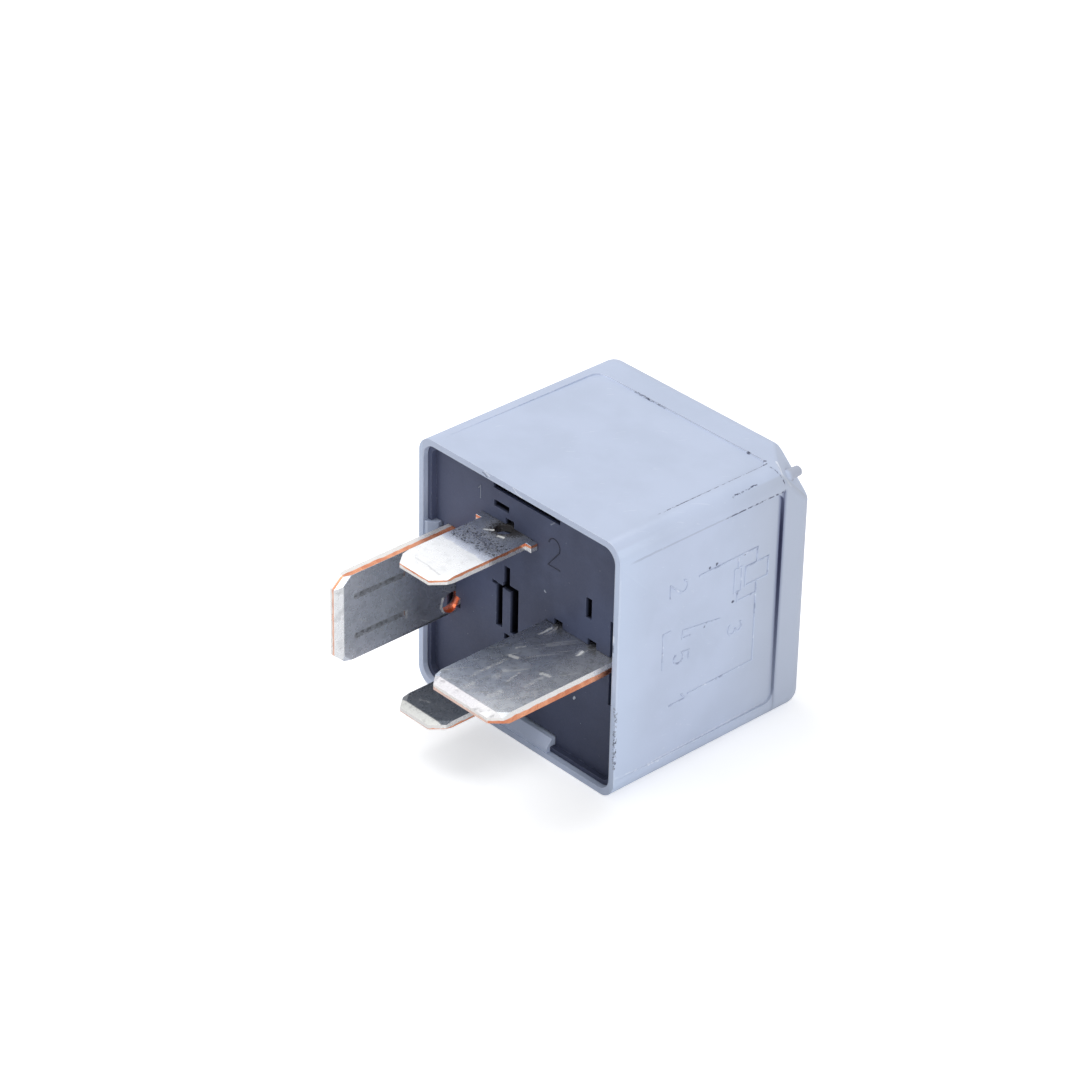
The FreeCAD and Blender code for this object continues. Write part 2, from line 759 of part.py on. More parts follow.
def make_winding():
    # layered copper wire; the last layer stops short of the top flange
    inner = core_radius + fit_gap + bobbin_wall + fit_gap
    low = foot_top_y + flange_thickness + fit_gap
    high = bobbin_top_y - flange_thickness - fit_gap
    start = V(coil_x, low, 0)
    winding = rod(winding_radius - last_layer_thickness, start, high - low, Y_AXIS)
    winding = winding.fuse(rod(winding_radius, start, high - low - last_layer_short, Y_AXIS))
    winding = winding.cut(rod(inner, start, high - low, Y_AXIS))
    lead_y = low + lead_rise
    return winding.fuse([wire_to_tail(-1, lead_y), wire_to_tail(1, lead_y)]).removeSplitter()


def at_rest(shape):
    # the armature's pieces are drawn pulled in, then opened about the frame's edge
    return turn(shape, -open_angle, pivot)


def make_armature():
    half = armature_width / 2
    end_half = armature_end_width / 2
    heel_half = frame_width / 2 - horn_width - horn_gap
    notch_x = frame_leg_x - frame_thickness - horn_gap
    plan = [
        (armature_end_x, -end_half), (armature_end_x + armature_taper, -half), (notch_x, -half),
        (notch_x, -heel_half), (frame_leg_x, -heel_half), (frame_leg_x, heel_half), (notch_x, heel_half),
        (notch_x, half), (armature_end_x + armature_taper, half), (armature_end_x, end_half),
    ]
    plate = prism([V(x, arm_bottom_y, z) for x, z in plan], Y_AXIS * armature_thickness)
    heel = [
        V(frame_leg_x, arm_top_y - heel_chamfer, -half),
        V(frame_leg_x, arm_top_y, -half),
        V(frame_leg_x - heel_chamfer, arm_top_y, -half),
    ]
    plate = plate.cut(prism(heel, Z_AXIS * armature_width))
    for sign in (-1, 1):
        start = V(armature_rivet_x, 0, sign * armature_rivet_z)
        plate = plate.cut(rod(rivet_radius + fit_gap, start, through, Y_AXIS))
    return at_rest(plate.removeSplitter())


def swing(point, degrees):
    moved = turn(Part.Vertex(point[0], point[1], 0), degrees, pivot).Point
    return moved.x, moved.y


def make_spring():
    # one leaf: riveted to the frame's back, round the heel, along the armature to the contact
    heel_x = frame_leg_x + spring_jog
    path = [
        swing((spring_end_x, arm_top_y), -open_angle),
        swing((frame_leg_x - heel_chamfer / 2, arm_top_y), -open_angle),
        swing((heel_x, arm_top_y - spring_heel_drop), -open_angle / 2),
        (heel_x, frame_height - spring_jog_top),
        (frame_leg_x, frame_height - spring_jog_foot),
        (frame_leg_x, spring_foot_y),
    ]
    half = spring_width / 2
    face = sheet_section(path, spring_thickness, spring_bend, lambda p: V(p[0], p[1], -half))
    leaf = face.extrude(Z_AXIS * spring_width)
    taper_x = armature_end_x + spring_taper_end
    end_half = spring_end_width / 2
    outside = half + spring_thickness
    for sign in (-1, 1):
        corner = [
            V(taper_x + spring_taper_start, 0, sign * outside), V(taper_x, 0, sign * end_half),
            V(spring_end_x - end_half, 0, sign * end_half), V(spring_end_x - end_half, 0, sign * outside),
        ]
        leaf = leaf.cut(prism(corner, Y_AXIS * through))
        drill = rod(rivet_radius + fit_gap, V(armature_rivet_x, 0, sign * armature_rivet_z), through, Y_AXIS)
        leaf = leaf.cut(at_rest(drill))
        start = V(frame_inner_x, spring_rivet_y, sign * spring_rivet_z)
        leaf = leaf.cut(rod(rivet_radius + fit_gap, start, through, X_AXIS))
    leaf = leaf.cut(at_rest(rod(contact_stem_radius + fit_gap, V(contact_x, 0, 0), through, Y_AXIS)))
    return leaf.removeSplitter()


def domed_head(radius, height, start, axis, dome):
    head = rod(radius, start, height, axis)
    rim = [e for e in head.Edges if abs((e.BoundBox.Center - start).dot(axis) - height) < 1e-6]
    return head.makeChamfer(dome, rim)


def make_moving_contact():
    top = V(contact_x, arm_top_y, 0)
    head = domed_head(moving_contact_radius, moving_contact_height, top, -Y_AXIS, contact_edge)
    stem = rod(contact_stem_radius, top, spring_thickness, Y_AXIS)
    cap = rod(contact_cap_radius, top + Y_AXIS * spring_thickness, contact_cap_height, Y_AXIS)
    return at_rest(head.fuse([stem, cap]).removeSplitter())


def make_fixed_contact():
    seat = V(contact_x, load_arm_top_y, 0)
    head = domed_head(fixed_contact_radius, fixed_contact_height, seat, Y_AXIS, contact_edge)
    stem = rod(contact_stem_radius, seat - Y_AXIS * wide_thickness, wide_thickness, Y_AXIS)
    cap_start = seat - Y_AXIS * (wide_thickness + contact_cap_height)
    cap = rod(contact_cap_radius, cap_start, contact_cap_height, Y_AXIS)
    return head.fuse([stem, cap]).removeSplitter()


def rivet(start, axis, grip):
    # round head at the start, shank along the axis through the grip
    head = rod(rivet_head_radius, start - axis * rivet_head_height, rivet_head_height, axis)
    return head.fuse(rod(rivet_radius, start, grip, axis)).removeSplitter()


def make_armature_rivets():
    rivets = []
    for sign in (-1, 1):
        start = V(armature_rivet_x, strip_top_y, sign * armature_rivet_z)
        rivets.append(at_rest(rivet(start, -Y_AXIS, spring_thickness + armature_thickness)))
    return Part.makeCompound(rivets)


def make_frame_rivets():
    rivets = []
    for sign in (-1, 1):
        start = V(frame_leg_x + spring_thickness, spring_rivet_y, sign * spring_rivet_z)
        rivets.append(rivet(start, -X_AXIS, spring_thickness + frame_thickness))
    return Part.makeCompound(rivets)


def make_feed_rivet():
    start = V(frame_leg_x + fit_gap + wide_thickness, feed_rivet_y, feed_rivet_z)
    return rivet(start, -X_AXIS, fit_gap + wide_thickness + frame_thickness)


def make_resistor():
    half = resistor_length / 2
    body = rod(resistor_radius - resistor_waist, V(resistor_x, resistor_y, -half), resistor_length, Z_AXIS)
    for z in (-half, half - resistor_cap):
        end = rod(resistor_radius, V(resistor_x, resistor_y, z), resistor_cap, Z_AXIS)
        rim = [e for e in end.Edges if e.Closed and not e.isSeam(end.Faces[0])]
        body = body.fuse(end.makeChamfer(resistor_edge, rim))
    return body.removeSplitter()


def make_resistor_lead(sign):
    # wire from the resistor's end round one bend to the tail of a coil terminal
    z0 = sign * resistor_length / 2
    z1 = sign * coil_blade_z
    centre_x = resistor_x + resistor_lead_bend
    centre_z = z1 - sign * resistor_lead_bend
    points = [V(resistor_x, resistor_y, z0)]
    for k in range(resistor_lead_runs + 1):
        angle = math.pi / 2 * k / resistor_lead_runs
        x = centre_x - resistor_lead_bend * math.cos(angle)
        z = centre_z + sign * resistor_lead_bend * math.sin(angle)
        points.append(V(x, resistor_y, z))
    points.append(V(coil_tail_x - coil_tail_width / 2, resistor_y, z1))
    path = Part.Wire(Part.makePolygon(points))
    ring = Part.Wire(Part.makeCircle(resistor_lead_radius, points[0], Z_AXIS * sign))
    return path.makePipeShell([ring], True, False, 1)


def export(node, shape):
    moved = shape.copy()
    moved.translate(V(0, -overall_mid_y, half_height))
    moved.exportStep(os.path.join("parts", node + ".step"))
    bounds = moved.BoundBox
    print("%-18s valid %s solids %d volume %9.3f  x %.2f %.2f  y %.2f %.2f  z %.2f %.2f" % (
        node, moved.isValid(), len(moved.Solids), moved.Volume, bounds.XMin, bounds.XMax,
        bounds.YMin, bounds.YMax, bounds.ZMin, bounds.ZMax))


os.makedirs("parts", exist_ok=True)
export("cover", make_cover())
export("base", make_base())
export("terminal_87", make_load_terminal())
export("terminal_30", make_feed_terminal())
export("terminal_85", make_coil_terminal(1))
export("terminal_86", make_coil_terminal(-1))
export("yoke", make_frame())
export("core", make_core())
export("bobbin", make_bobbin())
export("coil_winding", make_winding())
export("armature", make_armature())
export("contact_spring", make_spring())
export("moving_contact", make_moving_contact())
export("fixed_contact", make_fixed_contact())
export("armature_rivets", make_armature_rivets())
export("yoke_rivets", make_frame_rivets())
export("terminal_rivet", make_feed_rivet())
export("resistor", make_resistor())
export("resistor_lead_85", make_resistor_lead(1))
export("resistor_lead_86", make_resistor_lead(-1))
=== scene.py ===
import bpy
import bmesh
import math
from mathutils import Matrix, Vector


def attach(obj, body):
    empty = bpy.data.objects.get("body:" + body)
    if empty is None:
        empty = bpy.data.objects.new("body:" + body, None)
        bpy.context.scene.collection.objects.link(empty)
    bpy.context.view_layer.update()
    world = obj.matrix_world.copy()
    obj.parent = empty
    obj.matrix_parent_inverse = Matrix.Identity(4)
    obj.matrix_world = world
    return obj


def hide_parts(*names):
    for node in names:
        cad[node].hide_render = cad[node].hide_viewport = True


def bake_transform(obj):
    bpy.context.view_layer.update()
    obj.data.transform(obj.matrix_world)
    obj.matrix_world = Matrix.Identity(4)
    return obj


# A plug-in mini relay lying on its side, blades towards the camera.
# Sizes in the dictionaries are in millimetres, apart from those of the stage. A place on the part is
# (x, y, z) from the middle of the cover's mouth, blades towards -Y and the closed end towards +Y.

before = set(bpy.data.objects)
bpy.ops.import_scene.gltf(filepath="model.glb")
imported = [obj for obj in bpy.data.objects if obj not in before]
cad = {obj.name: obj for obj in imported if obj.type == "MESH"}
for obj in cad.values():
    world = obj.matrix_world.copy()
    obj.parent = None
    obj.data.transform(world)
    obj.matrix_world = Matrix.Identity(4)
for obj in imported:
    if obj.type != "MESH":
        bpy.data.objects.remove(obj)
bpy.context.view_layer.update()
mm = 0.001
mouth = Vector((0.0, -5.95, 14.0))  # the mouth's middle in the frame
weldGap = 0.002  # corners closer than this are one corner
noiseSpread = (0.3, 0.7)  # where most of a noise texture's values lie


def onPart(x, y, z):
    return (Vector((x, y, z)) + mouth) * mm


# Nodes and groups
def shade(r, g, b):
    # a screen colour from 0 to 255 as Blender's linear colour
    def toLinear(c):
        c /= 255
        return c / 12.92 if c <= 0.04045 else ((c + 0.055) / 1.055) ** 2.4
    return (toLinear(r), toLinear(g), toLinear(b), 1.0)


def setSockets(tree, item, sockets):
    for name, value in sockets.items():
        if isinstance(value, bpy.types.NodeSocket):
            tree.links.new(value, item.inputs[name])
        else:
            item.inputs[name].default_value = value


def put(tree, kind, sockets=None, **settings):
    item = tree.nodes.new("ShaderNode" + kind)
    for name, value in settings.items():
        setattr(item, name, value)
    setSockets(tree, item, sockets or {})
    return item


def calc(tree, operation, a, b=0.0, c=0.0, clamp=False):
    return put(tree, "Math", {0: a, 1: b, 2: c}, operation=operation, use_clamp=clamp).outputs[0]


def chain(tree, operation, values):
    result = values[0]
    for value in values[1:]:
        result = calc(tree, operation, result, value)
    return result


def times(tree, *values):
    return chain(tree, "MULTIPLY", values)


def strongest(tree, *masks):
    return chain(tree, "MAXIMUM", masks)


def vector(tree, operation, a, b=(0, 0, 0)):
    item = put(tree, "VectorMath", {0: a, 1: b}, operation=operation)
    return item.outputs["Value" if operation in ("DOT_PRODUCT", "LENGTH") else "Vector"]


def mixColour(tree, factor, a, b):
    return put(tree, "Mix", {0: factor, 6: a, 7: b}, data_type="RGBA").outputs[2]


def ramp(tree, value, low, high, toLow=0.0, toHigh=1.0):
    sockets = {"Value": value, "From Min": low, "From Max": high, "To Min": toLow, "To Max": toHigh}
    return put(tree, "MapRange", sockets, interpolation_type="SMOOTHSTEP").outputs["Result"]


def speckle(tree, where, scale, detail=2.0, rough=0.5):
    # noise around 0.5; scale is in waves per millimetre
    sockets = {"Vector": where, "Scale": scale, "Detail": detail, "Roughness": rough}
    return put(tree, "TexNoise", sockets).outputs[0]


def newGroup(name, inputs, outputs):
    group = bpy.data.node_groups.new(name, "ShaderNodeTree")
    for label, kind, value in inputs:
        socket = group.interface.new_socket(name=label, in_out="INPUT", socket_type="NodeSocket" + kind)
        if value is not None:
            socket.default_value = value
    for label, kind in outputs:
        group.interface.new_socket(name=label, in_out="OUTPUT", socket_type="NodeSocket" + kind)
    start = group.nodes.new("NodeGroupInput")
    end = group.nodes.new("NodeGroupOutput")
    return group, start.outputs, end.inputs


def useGroup(tree, group, sockets):
    item = tree.nodes.new("ShaderNodeGroup")
    item.node_tree = group
    setSockets(tree, item, sockets)
    return item.outputs


effects = {
    # pairs say at which value of the noise or the distance an effect begins and where it is full
    "driftLevel": (0.35, 0.68),
    "widePitScale": 0.23,
    "widePitDepth": 0.8,
    "rubLevel": 0.72,
    "rubRange": 0.2,
    "rubFade": (0.0, 0.045),
    "lineWander": 1.7,
    "lineFade": (1.0, 0.35),
    "dashLevel": 0.75,
    "dashRange": 0.5,
    "dashFade": (-0.02, 0.06),
    "startFade": (0.0, 1.5),
    "endFade": (0.0, 0.15),
    "strokeWander": 0.3,
    "strokeRagged": 1.3,
    "strokeFade": (1.0, 0.4),
    "strokeBreak": (0.44, 0.52),
    "tiny": 0.000001,
    "wearBend": (0.01, 0.2),
    "wearPatch": (0.42, 0.62),
}


def makeDrift():
    # slow change of lightness over a surface, as in moulded or plated stock
    inputs = [("Place", "Vector", None), ("Colour", "Color", None), ("Other", "Color", None),
              ("Size", "Float", 5.0), ("Amount", "Float", 0.5)]
    group, start, end = newGroup("colourDrift", inputs, [("Colour", "Color")])
    scale = calc(group, "DIVIDE", 1.0, start["Size"])
    cloud = speckle(group, start["Place"], scale, 3.0, 0.55)
    share = times(group, ramp(group, cloud, *effects["driftLevel"]), start["Amount"])
    group.links.new(mixColour(group, share, start["Colour"], start["Other"]), end["Colour"])
    return group


def makeGrain():
    # fine skin of the surface: small pits and bumps, for Bump's height and the roughness
    inputs = [("Place", "Vector", None), ("Size", "Float", 0.2)]
    group, start, end = newGroup("surfaceGrain", inputs, [("Height", "Float"), ("Value", "Float")])
    scale = calc(group, "DIVIDE", 1.0, start["Size"])
    fine = speckle(group, start["Place"], scale, 3.0, 0.6)
    wide = speckle(group, start["Place"], times(group, scale, effects["widePitScale"]), 2.0, 0.5)
    height = calc(group, "ADD", fine, times(group, wide, effects["widePitDepth"]))
    group.links.new(height, end["Height"])
    group.links.new(fine, end["Value"])
    return group


def makeRubLines():
    # fine straight scratches: noise stretched along one direction and cut to thin lines
    inputs = [("Place", "Vector", None), ("Turn", "Vector", None), ("Spacing", "Float", 0.4),
              ("Length", "Float", 5.0), ("Amount", "Float", 0.5)]
    group, start, end = newGroup("rubLines", inputs, [("Mask", "Float")])
    turned = put(group, "Mapping", {"Vector": start["Place"], "Rotation": start["Turn"]})
    along = put(group, "CombineXYZ", {0: calc(group, "DIVIDE", 1.0, start["Spacing"]),
                                      1: calc(group, "DIVIDE", 1.0, start["Length"]),
                                      2: calc(group, "DIVIDE", 1.0, start["Spacing"])})
    stretched = vector(group, "MULTIPLY", turned.outputs[0], along.outputs[0])
    line = speckle(group, stretched, 1.0, 4.0, 0.62)
    level = calc(group, "SUBTRACT", effects["rubLevel"], times(group, start["Amount"], effects["rubRange"]))
    mask = ramp(group, calc(group, "SUBTRACT", line, level), *effects["rubFade"])
    group.links.new(mask, end["Mask"])
    return group


def makeBrokenLine():
    # one line of dirt or scuffing that comes and goes along an edge
    inputs = [("Place", "Vector", None), ("Across", "Float", 0.0), ("Along", "Float", 0.0),
              ("Width", "Float", 0.1), ("From", "Float", 0.0), ("To", "Float", 1.0),
              ("Gap Size", "Float", 1.0), ("Cover", "Float", 0.5), ("Waver", "Float", 0.05)]
    group, start, end = newGroup("brokenLine", inputs, [("Mask", "Float")])
    wander = calc(group, "SUBTRACT", speckle(group, start["Place"], effects["lineWander"], 3.0), 0.5)
    shifted = calc(group, "MULTIPLY_ADD", wander, start["Waver"], start["Across"])
    away = calc(group, "DIVIDE", calc(group, "ABSOLUTE", shifted), start["Width"])
    core = ramp(group, away, *effects["lineFade"])
    breaks = speckle(group, start["Place"], calc(group, "DIVIDE", 1.0, start["Gap Size"]), 3.0, 0.7)
    level = calc(group, "SUBTRACT", effects["dashLevel"], times(group, start["Cover"], effects["dashRange"]))
    dash = ramp(group, calc(group, "SUBTRACT", breaks, level), *effects["dashFade"])
    into = ramp(group, calc(group, "SUBTRACT", start["Along"], start["From"]), *effects["startFade"])
    out = ramp(group, calc(group, "SUBTRACT", start["To"], start["Along"]), *effects["endFade"])
    group.links.new(times(group, core, dash, into, out), end["Mask"])
    return group


def makeStroke():
    # one drawn mark between two places, or a dot where both are the same
    inputs = [("Place", "Vector", None), ("From", "Vector", None), ("To", "Vector", None),
              ("Width", "Float", 0.1), ("Breaks", "Float", 0.0)]
    group, start, end = newGroup("stroke", inputs, [("Mask", "Float")])
    wander = put(group, "TexNoise", {"Vector": start["Place"], "Scale": 2.5, "Detail": 3.0}).outputs["Color"]
    shift = vector(group, "MULTIPLY", vector(group, "SUBTRACT", wander, (0.5, 0.5, 0.5)),
                   (effects["strokeWander"],) * 3)
    place = vector(group, "ADD", start["Place"], shift)
    run = vector(group, "SUBTRACT", start["To"], start["From"])
    away = vector(group, "SUBTRACT", place, start["From"])
    # a dot has no length, so a tiny one keeps the next line from dividing by nothing
    square = calc(group, "ADD", vector(group, "DOT_PRODUCT", run, run), effects["tiny"])
    along = calc(group, "DIVIDE", vector(group, "DOT_PRODUCT", away, run), square, clamp=True)
    nearest = put(group, "VectorMath", {0: run, "Scale": along}, operation="SCALE").outputs[0]
    gap = vector(group, "LENGTH", vector(group, "SUBTRACT", away, nearest))
    ragged = calc(group, "SUBTRACT", speckle(group, start["Place"], 6.0, 3.0, 0.7), 0.5)
    share = calc(group, "MULTIPLY_ADD", ragged, effects["strokeRagged"],
                 calc(group, "DIVIDE", gap, start["Width"]))
    line = ramp(group, share, *effects["strokeFade"])
    dash = ramp(group, speckle(group, start["Place"], 2.2, 3.0, 0.7), *effects["strokeBreak"])
    kept = calc(group, "SUBTRACT", 1.0, times(group, dash, start["Breaks"]))
    group.links.new(times(group, line, kept), end["Mask"])
    return group


def makeEdgeWear():
    # rubbed edges: where the rounded normal leaves the flat one, broken up by noise
    inputs = [("Place", "Vector", None), ("Radius", "Float", 0.0002), ("Breaks", "Float", 2.0),
              ("Amount", "Float", 0.6)]
    group, start, end = newGroup("edgeWear", inputs, [("Mask", "Float")])
    soft = put(group, "Bevel", {"Radius": start["Radius"]}, samples=4).outputs[0]
    flat = put(group, "NewGeometry").outputs["Normal"]
    bend = calc(group, "SUBTRACT", 1.0, vector(group, "DOT_PRODUCT", soft, flat))
    patchy = speckle(group, start["Place"], start["Breaks"], 4.0, 0.7)
    mask = times(group, ramp(group, bend, *effects["wearBend"]), ramp(group, patchy, *effects["wearPatch"]),
                 start["Amount"])
    group.links.new(mask, end["Mask"])
    return group


drift = makeDrift()
grain = makeGrain()
rubLines = makeRubLines()
brokenLine = makeBrokenLine()
stroke = makeStroke()
edgeWear = makeEdgeWear()


def newMaterial(name, **values):
    # a Principled material; returns its tree, shader and the place from the mouth in millimetres
    material = bpy.data.materials.new(name)
    material.use_nodes = True
    tree = material.node_tree
    shader = tree.nodes["Principled BSDF"]
    for label, value in values.items():
        shader.inputs[label.replace("_", " ")].default_value = value
    coords = put(tree, "TexCoord")
    scaled = put(tree, "VectorMath", {0: coords.outputs["Object"], "Scale": 1 / mm}, operation="SCALE")
    return material, tree, shader, vector(tree, "SUBTRACT", scaled.outputs[0], tuple(mouth))


def split(tree, where):
    return put(tree, "SeparateXYZ", {0: where}).outputs


def bump(tree, shader, height, distance):
    item = put(tree, "Bump", {"Height": height, "Distance": distance * mm, "Strength": 1.0})
    tree.links.new(item.outputs[0], shader.inputs["Normal"])


def stock(tree, place, surface):
    # the material's own colour, drifting slowly towards a duller one
    sockets = {"Place": place, "Colour": shade(*surface["colour"]), "Other": shade(*surface["dull"]),
               "Size": surface["driftSize"], "Amount": surface["drift"]}
    return useGroup(tree, drift, sockets)["Colour"]


def layered(tree, colour, layers):
    # colours laid over one another, each as (mask, screen colour)
    for mask, over in layers:
        colour = mixColour(tree, mask, colour, shade(*over))
    return colour


def scratches(tree, place, surface, turn, amount):
    sockets = {"Place": place, "Turn": turn, "Spacing": surface["rubSpacing"],
               "Length": surface["rubLength"], "Amount": amount}
    return useGroup(tree, rubLines, sockets)["Mask"]


def wornEdges(tree, place, surface):
    sockets = {"Place": place, "Radius": surface["edgeRadius"] * mm, "Breaks": surface["edgeBreaks"],
               "Amount": surface["edgeWear"]}
    return useGroup(tree, edgeWear, sockets)["Mask"]


def dress(tree, shader, place, colour, surface, pressed=(), rougher=()):
    # colour and fine pits; pressed marks lower the height and rougher ones add roughness, each as
    # (mask, amount)
    tree.links.new(colour, shader.inputs["Base Color"])
    skin = useGroup(tree, grain, {"Place": place, "Size": surface["grain"]})
    rough = ramp(tree, skin["Value"], *noiseSpread, *surface["rough"])
    for mask, amount in rougher:
        rough = calc(tree, "MULTIPLY_ADD", mask, amount, rough)
    height = skin["Height"]
    for mask, amount in pressed:
        height = calc(tree, "SUBTRACT", height, times(tree, mask, amount))
    tree.links.new(rough, shader.inputs["Roughness"])
    bump(tree, shader, height, surface["bump"])


def facing(tree, axis):
    # how far the surface faces along an axis, without sign
    normal = put(tree, "TexCoord").outputs["Normal"]
    return calc(tree, "ABSOLUTE", vector(tree, "DOT_PRODUCT", normal, axis))


def band(tree, value, low, high, soft):
    # 1 between low and high, fading out over soft
    rise = ramp(tree, value, low - soft, low)
    return times(tree, rise, ramp(tree, value, high + soft, high))


def drawMarks(tree, place, marks):
    # each mark is (from, to, width, strength, breaks)
    masks = []
    for start, end, width, strength, breaks in marks:
        line = useGroup(tree, stroke, {"Place": place, "From": start, "To": end, "Width": width,
                                       "Breaks": breaks})
        masks.append(times(tree, line["Mask"], strength))
    return strongest(tree, *masks)


def toneRamp(tree, value, tones):
    # colours one after another along a value, each as (value, colour)
    low, high = tones[0][0], tones[-1][0]
    share = put(tree, "MapRange", {"Value": value, "From Min": low, "From Max": high}).outputs["Result"]
    item = put(tree, "ValToRGB", {"Fac": share})
    stops = item.color_ramp.elements
    stops.remove(stops[1])
    stops[0].position, stops[0].color = 0.0, shade(*tones[0][1])
    for at, colour in tones[1:]:
        stop = stops.new((at - low) / (high - low))
        stop.color = shade(*colour)
    return item.outputs["Color"]


# Cover
cover = {
    "colour": (188, 199, 222),
    "dull": (179, 190, 212),
    "driftSize": 7.0,
    "drift": 0.6,
    "grain": 0.16,
    "rough": (0.38, 0.5),
    "bump": 0.004,
    # scuffs, and the painted highlights on the cover
    "scuffAndHighlight": (224, 230, 243),
    "grime": (46, 50, 82),
    # painted soft shade at the end rim's step, and dirt caught on the raised lines
    "softShadeAndGrime": (104, 114, 148),
    "inside": (30, 32, 44),
    "mouthPaintedLight": (195, 209, 233),
    "endBand": (172, 180, 196),
    "pip": (168, 174, 190),
    # where the sides and the top begin, and how far the inner walls behind the mouth reach, which get
    # painted shade
    "sideX": (13.4, 13.6),
    "topZ": (13.3, 13.5),
    "innerReach": (13.12, 13.02),
    "innerY": (2.0, 16.0, 0.5),
    # bands on the sides as (from, to, strength at the first, strength at the second): painted light near the
    # mouth, darker at the end
    "mouthBandY": (6.0, 0.0, 0.0, 0.7),
    "endBandY": (13.0, 22.5, 0.0, 0.7),
    # painted soft shade, and a painted highlight on the step face, at the end rim's step
    "shadeY": (21.25, 21.42, 0.45),
    "shadeTopZ": (12.1, 11.7),
    "shadeZ": (-13.0, 8.0, 0.15, 0.75),
    "ledgeY": (21.2, 21.55, 0.05),
    "pipPlace": (12.6, 0.0, 12.3),
    "pipY": (22.8, 23.4),
    "pipRadius": (0.75, 0.65),
    "rubTurn": (0.3, 0.2, 0.5),
    "rubSpacing": 0.35,
    "rubLength": 6.0,
    "rubs": 0.35,
    "edgeRadius": 0.25,
    "edgeBreaks": 1.3,
    "edgeWear": 0.4,
    "rubStrength": 0.2,
    "rubDepth": 0.8,
    "dirtDepth": 3.0,
    # the raised lines' noise as (scale, detail, roughness), and where it shows and how strongly
    "brightNoise": (1.1, 3.0, 0.6),
    "brightLevel": (0.4, 0.3, 0.0, 0.6),
    "caughtNoise": (0.7, 4.0, 0.7),
    "caughtLevel": (0.5, 0.65, 0.0, 0.5),
    # where the lines of dirt lie, and how the one in the side's step fades along Z
    "seamY": 21.36,
    "sideBorderZ": 11.85,
    "topBorderX": 11.75,
    "seamLowZ": (-13.0, 6.0, 0.22, 0.95),
    "seamHighZ": (11.8, 7.0, 0.5, 1.0),
    # lines of dirt as (width, from, to, gap size, cover, waver, strength)
    "sideSeam": (0.15, -13.4, 11.9, 3.0, 1.0, 0.06, 1.0),
    "topSeam": (0.13, -9.0, 12.0, 2.0, 0.75, 0.06, 0.08),
    "sideBorder": (0.13, 13.0, 21.3, 0.5, 0.6, 0.1, 0.9),
    "topBorder": (0.14, 6.5, 21.2, 0.5, 0.58, 0.1, 0.95),
    "faintBorder": (0.2, 1.0, 15.0, 2.5, 0.8, 0.1, 0.22),
    # single marks as (from, to, width, strength, breaks)
    "darkMarks": [
        ((13.46, 14.9, 13.49), (13.37, 18.2, 13.58), 0.11, 0.9, 0.9),
        ((13.93, 21.45, 11.7), (13.88, 21.35, 12.84), 0.09, 0.9, 0.2),
        ((13.88, 21.35, 12.84), (13.16, 21.05, 13.72), 0.09, 0.8, 0.6),
        ((13.16, 21.05, 13.72), (12.1, 20.9, 14.0), 0.09, 0.7, 0.9),
        ((-6.6, 21.33, 13.9), (-2.3, 21.33, 13.9), 0.12, 0.9, 0.5),
        ((9.0, 21.33, 13.9), (9.2, 21.33, 13.9), 0.2, 0.8, 0.0),
        ((11.2, 21.2, 14.0), (11.3, 21.3, 14.0), 0.22, 0.8, 0.0),
        ((13.9, 0.1, -3.4), (13.9, 0.1, -10.4), 0.22, 0.9, 1.0),
        ((13.4, 0.0, 3.2), (13.4, 0.0, 2.6), 0.14, 0.7, 0.3),
        ((-4.9, 0.0, 13.75), (-4.2, 0.0, 13.5), 0.11, 0.8, 0.3),
        ((13.83, 11.9, 7.1), (13.83, 11.9, 7.1), 0.2, 0.9, 0.0),
        ((13.82, 12.85, 7.15), (13.82, 12.85, 7.15), 0.2, 0.9, 0.0),
        ((13.77, 16.6, 6.7), (13.77, 16.6, 6.7), 0.2, 0.9, 0.0),
        ((13.79, 15.3, 2.0), (13.79, 15.3, 2.0), 0.22, 0.9, 0.0),
        ((13.74, 18.37, 3.0), (13.74, 18.37, 3.0), 0.18, 0.8, 0.0),
        ((13.84, 11.5, 0.73), (13.84, 11.5, 0.73), 0.2, 0.6, 0.0),
    ],
    "lightMarks": [
        # painted highlights along the end facet's two fillets
        ((13.5, 21.5, 13.4), (12.1, 22.1, 13.97), 0.2, 0.9, 0.0),
        ((13.5, 21.5, 13.4), (13.92, 22.4, 12.0), 0.2, 0.9, 0.0),
        ((13.45, 0.0, 4.1), (13.45, 0.0, 3.8), 0.3, 1.0, 0.0),
        # a painted highlight along the side's edge at the mouth
        ((14.0, 0.1, 10.5), (14.0, 0.1, -12.0), 0.2, 0.6, 0.3),
        ((14.0, 0.2, -11.5), (13.92, 6.0, -11.95), 0.14, 0.9, 0.8),
        ((13.9, 5.0, -11.8), (13.72, 21.0, -11.8), 0.2, 0.6, 0.5),
        ((-0.6, 0.0, 13.9), (0.0, 0.0, 13.5), 0.1, 1.0, 0.2),
        ((0.0, 0.0, 13.5), (0.6, 0.0, 13.42), 0.1, 1.0, 0.2),
        ((-4.6, 0.0, 13.95), (-3.9, 0.0, 13.7), 0.1, 1.0, 0.2),
    ],
}


